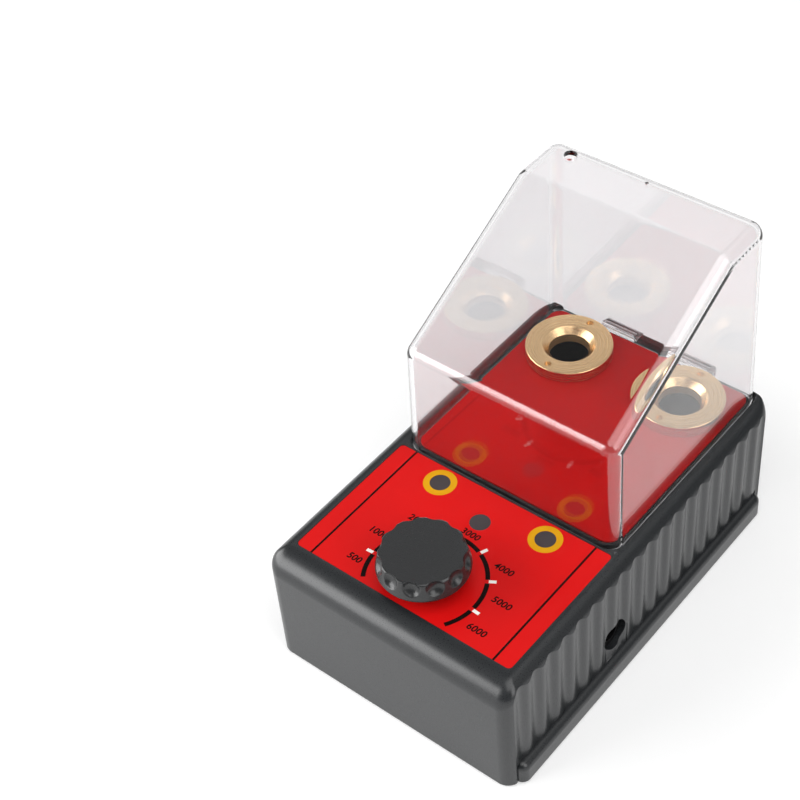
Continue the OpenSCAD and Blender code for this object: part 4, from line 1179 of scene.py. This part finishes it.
class TESTER_OT_knob(bpy.types.Operator):
    """Moulds the speed knob with its scooped grips"""

    bl_idname = "tester.knob"
    bl_label = "Knob"

    def execute(self, context):
        knob = context.scene.tester_knob
        plastic = moulded_plastic("moulded_abs_knob", knob.plastic[:])
        place = middle((KNOB_LOW, KNOB_HIGH))
        grip = tidy(lathe("grip_knob", knob_profile(knob), place, 360))
        by_rule(grip, grip_tree(plastic), {
            "Centre": Vector((place.x, place.y, 0)), "Count": knob.grip_count, "Turn": knob.grip_turn,
            "Ball radius": knob.grip_radius, "Ball place": knob.grip_reach,
            "Ball height": KNOB_HIGH.z - knob.grip_drop, "Lowest": KNOB_LOW.z + knob.lift,
            "Softening": knob.grip_soften})
        finish(tidy(grip), plastic, 50)
        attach(grip, "knob")
        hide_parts("speed_knob")
        return {"FINISHED"}


# Fittings

class TESTER_OT_springs(bpy.types.Operator):
    """Makes the contact springs as steel copies of the CAD's own"""

    bl_idname = "tester.springs"
    bl_label = "Springs"

    def execute(self, context):
        make, code, options = SLOT_FINISHES["steel"][1:]
        steel = make("spring_steel", linear(code), **options)
        for side in SIDES:
            node = frame["nodes"][f"contact_spring_{side}"]
            spring = new_piece(f"spring_{side}", [], [])
            spring.data = node.data.copy()
            finish(tidy(spring), steel, 40)
            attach(spring, "case")
            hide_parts(f"contact_spring_{side}")
            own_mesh(spring)
        return {"FINISHED"}


class TESTER_OT_fittings(bpy.types.Operator):
    """Gives each CAD node that stays its finish"""

    bl_idname = "tester.fittings"
    bl_label = "Fittings"

    def execute(self, context):
        finishes = {}
        for part in frame["record"]["subparts"]:
            slot = part["material_slot"]
            node = frame["nodes"][part["node"]]
            if node.hide_render:
                continue
            if slot not in SLOT_FINISHES:
                raise RuntimeError(f"no finish for the slot {slot}")
            if slot not in finishes:
                name, make, code, options = SLOT_FINISHES[slot]
                finishes[slot] = make(name, linear(code), **options)
            node.data.materials.clear()
            node.data.materials.append(finishes[slot])
        return {"FINISHED"}


# Stage

# Softboxes: name, azimuth and elevation in degrees, distance, width and height in metres, strength
LAMPS = (
    ("key", -50, 19.5, 1.1, 1.3, 0.69, 6.0),
    ("fill", 84, 30, 1.1, 0.75, 0.75, 3.0),
    ("top", 60, 70, 1.2, 1.2, 0.9, 2.3),
    ("back_left", -137, 44, 1.2, 0.9, 0.65, 0.5),
    ("back_right", 150, 52, 1.2, 0.8, 0.5, 0.45))


def toward(azimuth, elevation):
    """The way from the object at an azimuth, counted from the front to the right, and an elevation."""
    level = math.cos(elevation)
    return Vector((math.sin(azimuth) * level, -math.cos(azimuth) * level, math.sin(elevation)))


class TESTER_OT_stage(bpy.types.Operator):
    """Sets the floor, the lights and the camera"""

    bl_idname = "tester.stage"
    bl_label = "Stage"

    def execute(self, context):
        stage = context.scene.tester_stage
        scene = context.scene
        reach = 3.0
        corners = [(-reach, -reach, 0), (reach, -reach, 0), (reach, reach, 0), (-reach, reach, 0)]
        floor = new_piece("floor", corners, [(0, 1, 2, 3)])
        paper, tree, surface = start_material("studio_paper", stage.floor[:], 0.9, Specular_IOR_Level=0.1)
        # The paper is white where it is seen, mirrored or seen through glass, and keeps its shadow
        path = add_node(tree, "ShaderNodeLightPath")
        seen = add_node(
            tree, "ShaderNodeMath", {0: path.outputs["Is Camera Ray"], 1: path.outputs["Is Glossy Ray"]},
            operation="ADD")
        shown = add_node(
            tree, "ShaderNodeMath", {0: seen.outputs[0], 1: path.outputs["Is Transmission Ray"]},
            operation="MAXIMUM")
        # Beyond the lamps' reach, between these distances in metres, the paper is lifted to white
        lit, unlit = 0.55, 1.2
        place = add_node(tree, "ShaderNodeTexCoord")
        away = add_node(tree, "ShaderNodeVectorMath", {0: place.outputs["Object"]}, operation="LENGTH")
        level = add_node(
            tree, "ShaderNodeMapRange",
            {"Value": away.outputs["Value"], "From Min": lit, "From Max": unlit, "To Min": stage.floor_lift})
        lift = add_node(
            tree, "ShaderNodeMath", {0: shown.outputs[0], 1: level.outputs["Result"]}, operation="MULTIPLY")
        surface.inputs["Emission Color"].default_value = (1, 1, 1, 1)
        tree.links.new(lift.outputs[0], surface.inputs["Emission Strength"])
        floor.data.materials.append(paper)
        world = bpy.data.worlds.new("studio")
        world.use_nodes = True
        tree = world.node_tree
        sky = tree.nodes["Background"]
        sky.inputs["Color"].default_value = (1, 1, 1, 1)
        # A white backdrop, seen straight or through the hood, stands round the floor. It ends between these
        # heights, given as the sine of the elevation, and the room is dim above it
        full, gone = 0.55, 0.8
        path = add_node(tree, "ShaderNodeLightPath")
        seen = add_node(
            tree, "ShaderNodeMath",
            {0: path.outputs["Is Camera Ray"], 1: path.outputs["Is Transmission Ray"]}, operation="MAXIMUM")
        way = add_node(tree, "ShaderNodeTexCoord")
        axes = add_node(tree, "ShaderNodeSeparateXYZ", {0: way.outputs["Generated"]})
        low = add_node(
            tree, "ShaderNodeMapRange",
            {"Value": axes.outputs["Z"], "From Min": full, "From Max": gone, "To Min": 1.0, "To Max": 0.0},
            interpolation_type="SMOOTHSTEP")
        shown = add_node(
            tree, "ShaderNodeMath", {0: seen.outputs[0], 1: low.outputs["Result"]}, operation="MULTIPLY")
        level = add_node(
            tree, "ShaderNodeMapRange", {"Value": shown.outputs[0], "To Min": stage.room, "To Max": 1.0})
        tree.links.new(level.outputs["Result"], sky.inputs["Strength"])
        scene.world = world
        target = Vector((0, 0, 0.05))
        for name, azimuth, elevation, distance, width, height, strength in LAMPS:
            lamp = bpy.data.lights.new(name, "AREA")
            lamp.shape = "RECTANGLE"
            lamp.size = width
            lamp.size_y = height
            lamp.energy = strength * math.pi * width * height
            way = toward(math.radians(azimuth), math.radians(elevation))
            holder = bpy.data.objects.new(name, lamp)
            holder.location = target + way * distance
            holder.rotation_mode = "QUATERNION"
            holder.rotation_quaternion = (-way).to_track_quat("-Z", "Y")
            scene.collection.objects.link(holder)
        back = toward(stage.azimuth, stage.elevation)
        level = Vector((math.cos(stage.azimuth), math.sin(stage.azimuth), 0))
        upright = back.cross(level)
        right = level * math.cos(stage.roll) + upright * math.sin(stage.roll)
        up = upright * math.cos(stage.roll) - level * math.sin(stage.roll)
        lens = bpy.data.cameras.new("camera")
        lens.sensor_width = SENSOR_MM
        lens.lens = stage.focal / PHOTO_SIDE * SENSOR_MM
        lens.clip_start = 0.01
        lens.clip_end = 20
        camera = bpy.data.objects.new("camera", lens)
        camera.matrix_world = Matrix((right, up, back)).transposed().to_4x4()
        camera.location = stage.eye
        scene.collection.objects.link(camera)
        scene.camera = camera
        scene.view_settings.view_transform = "Standard"
        # Light crosses the hood's walls many times along its edges
        scene.cycles.max_bounces = 32
        scene.cycles.glossy_bounces = 16
        scene.cycles.transmission_bounces = 32
        return {"FINISHED"}


class TESTER_PT_panel(bpy.types.Panel):
    """Lists the tester's settings and steps"""

    bl_label = "Spark plug tester"
    bl_idname = "TESTER_PT_panel"
    bl_space_type = "VIEW_3D"
    bl_region_type = "UI"
    bl_category = "Tester"

    def draw(self, context):
        layout = self.layout
        for name, group in SETTINGS.items():
            box = layout.box()
            box.label(text=group.__doc__)
            settings = getattr(context.scene, name)
            for key in group.__annotations__:
                box.prop(settings, key)
        for operator in OPERATORS:
            layout.operator(operator.bl_idname)


SETTINGS = {
    "tester_case": TesterCase, "tester_label": TesterLabel, "tester_hood": TesterHood,
    "tester_socket": TesterSocket, "tester_knob": TesterKnob, "tester_stage": TesterStage}
OPERATORS = (
    TESTER_OT_case, TESTER_OT_labels, TESTER_OT_hood, TESTER_OT_sockets, TESTER_OT_knob, TESTER_OT_springs,
    TESTER_OT_fittings, TESTER_OT_stage)


def register():
    """Adds the settings, the operators and the panel."""
    for group in (*SETTINGS.values(), *OPERATORS, TESTER_PT_panel):
        bpy.utils.register_class(group)
    for name, group in SETTINGS.items():
        setattr(bpy.types.Scene, name, PointerProperty(type=group))


def unregister():
    """Removes what register added."""
    for name in SETTINGS:
        delattr(bpy.types.Scene, name)
    for group in (TESTER_PT_panel, *reversed(OPERATORS), *reversed(list(SETTINGS.values()))):
        bpy.utils.unregister_class(group)


def main():
    """Builds the tester."""
    register()
    for operator in OPERATORS:
        group, name = operator.bl_idname.split(".")
        getattr(getattr(bpy.ops, group), name)()


if __name__ == "__main__":
    main()
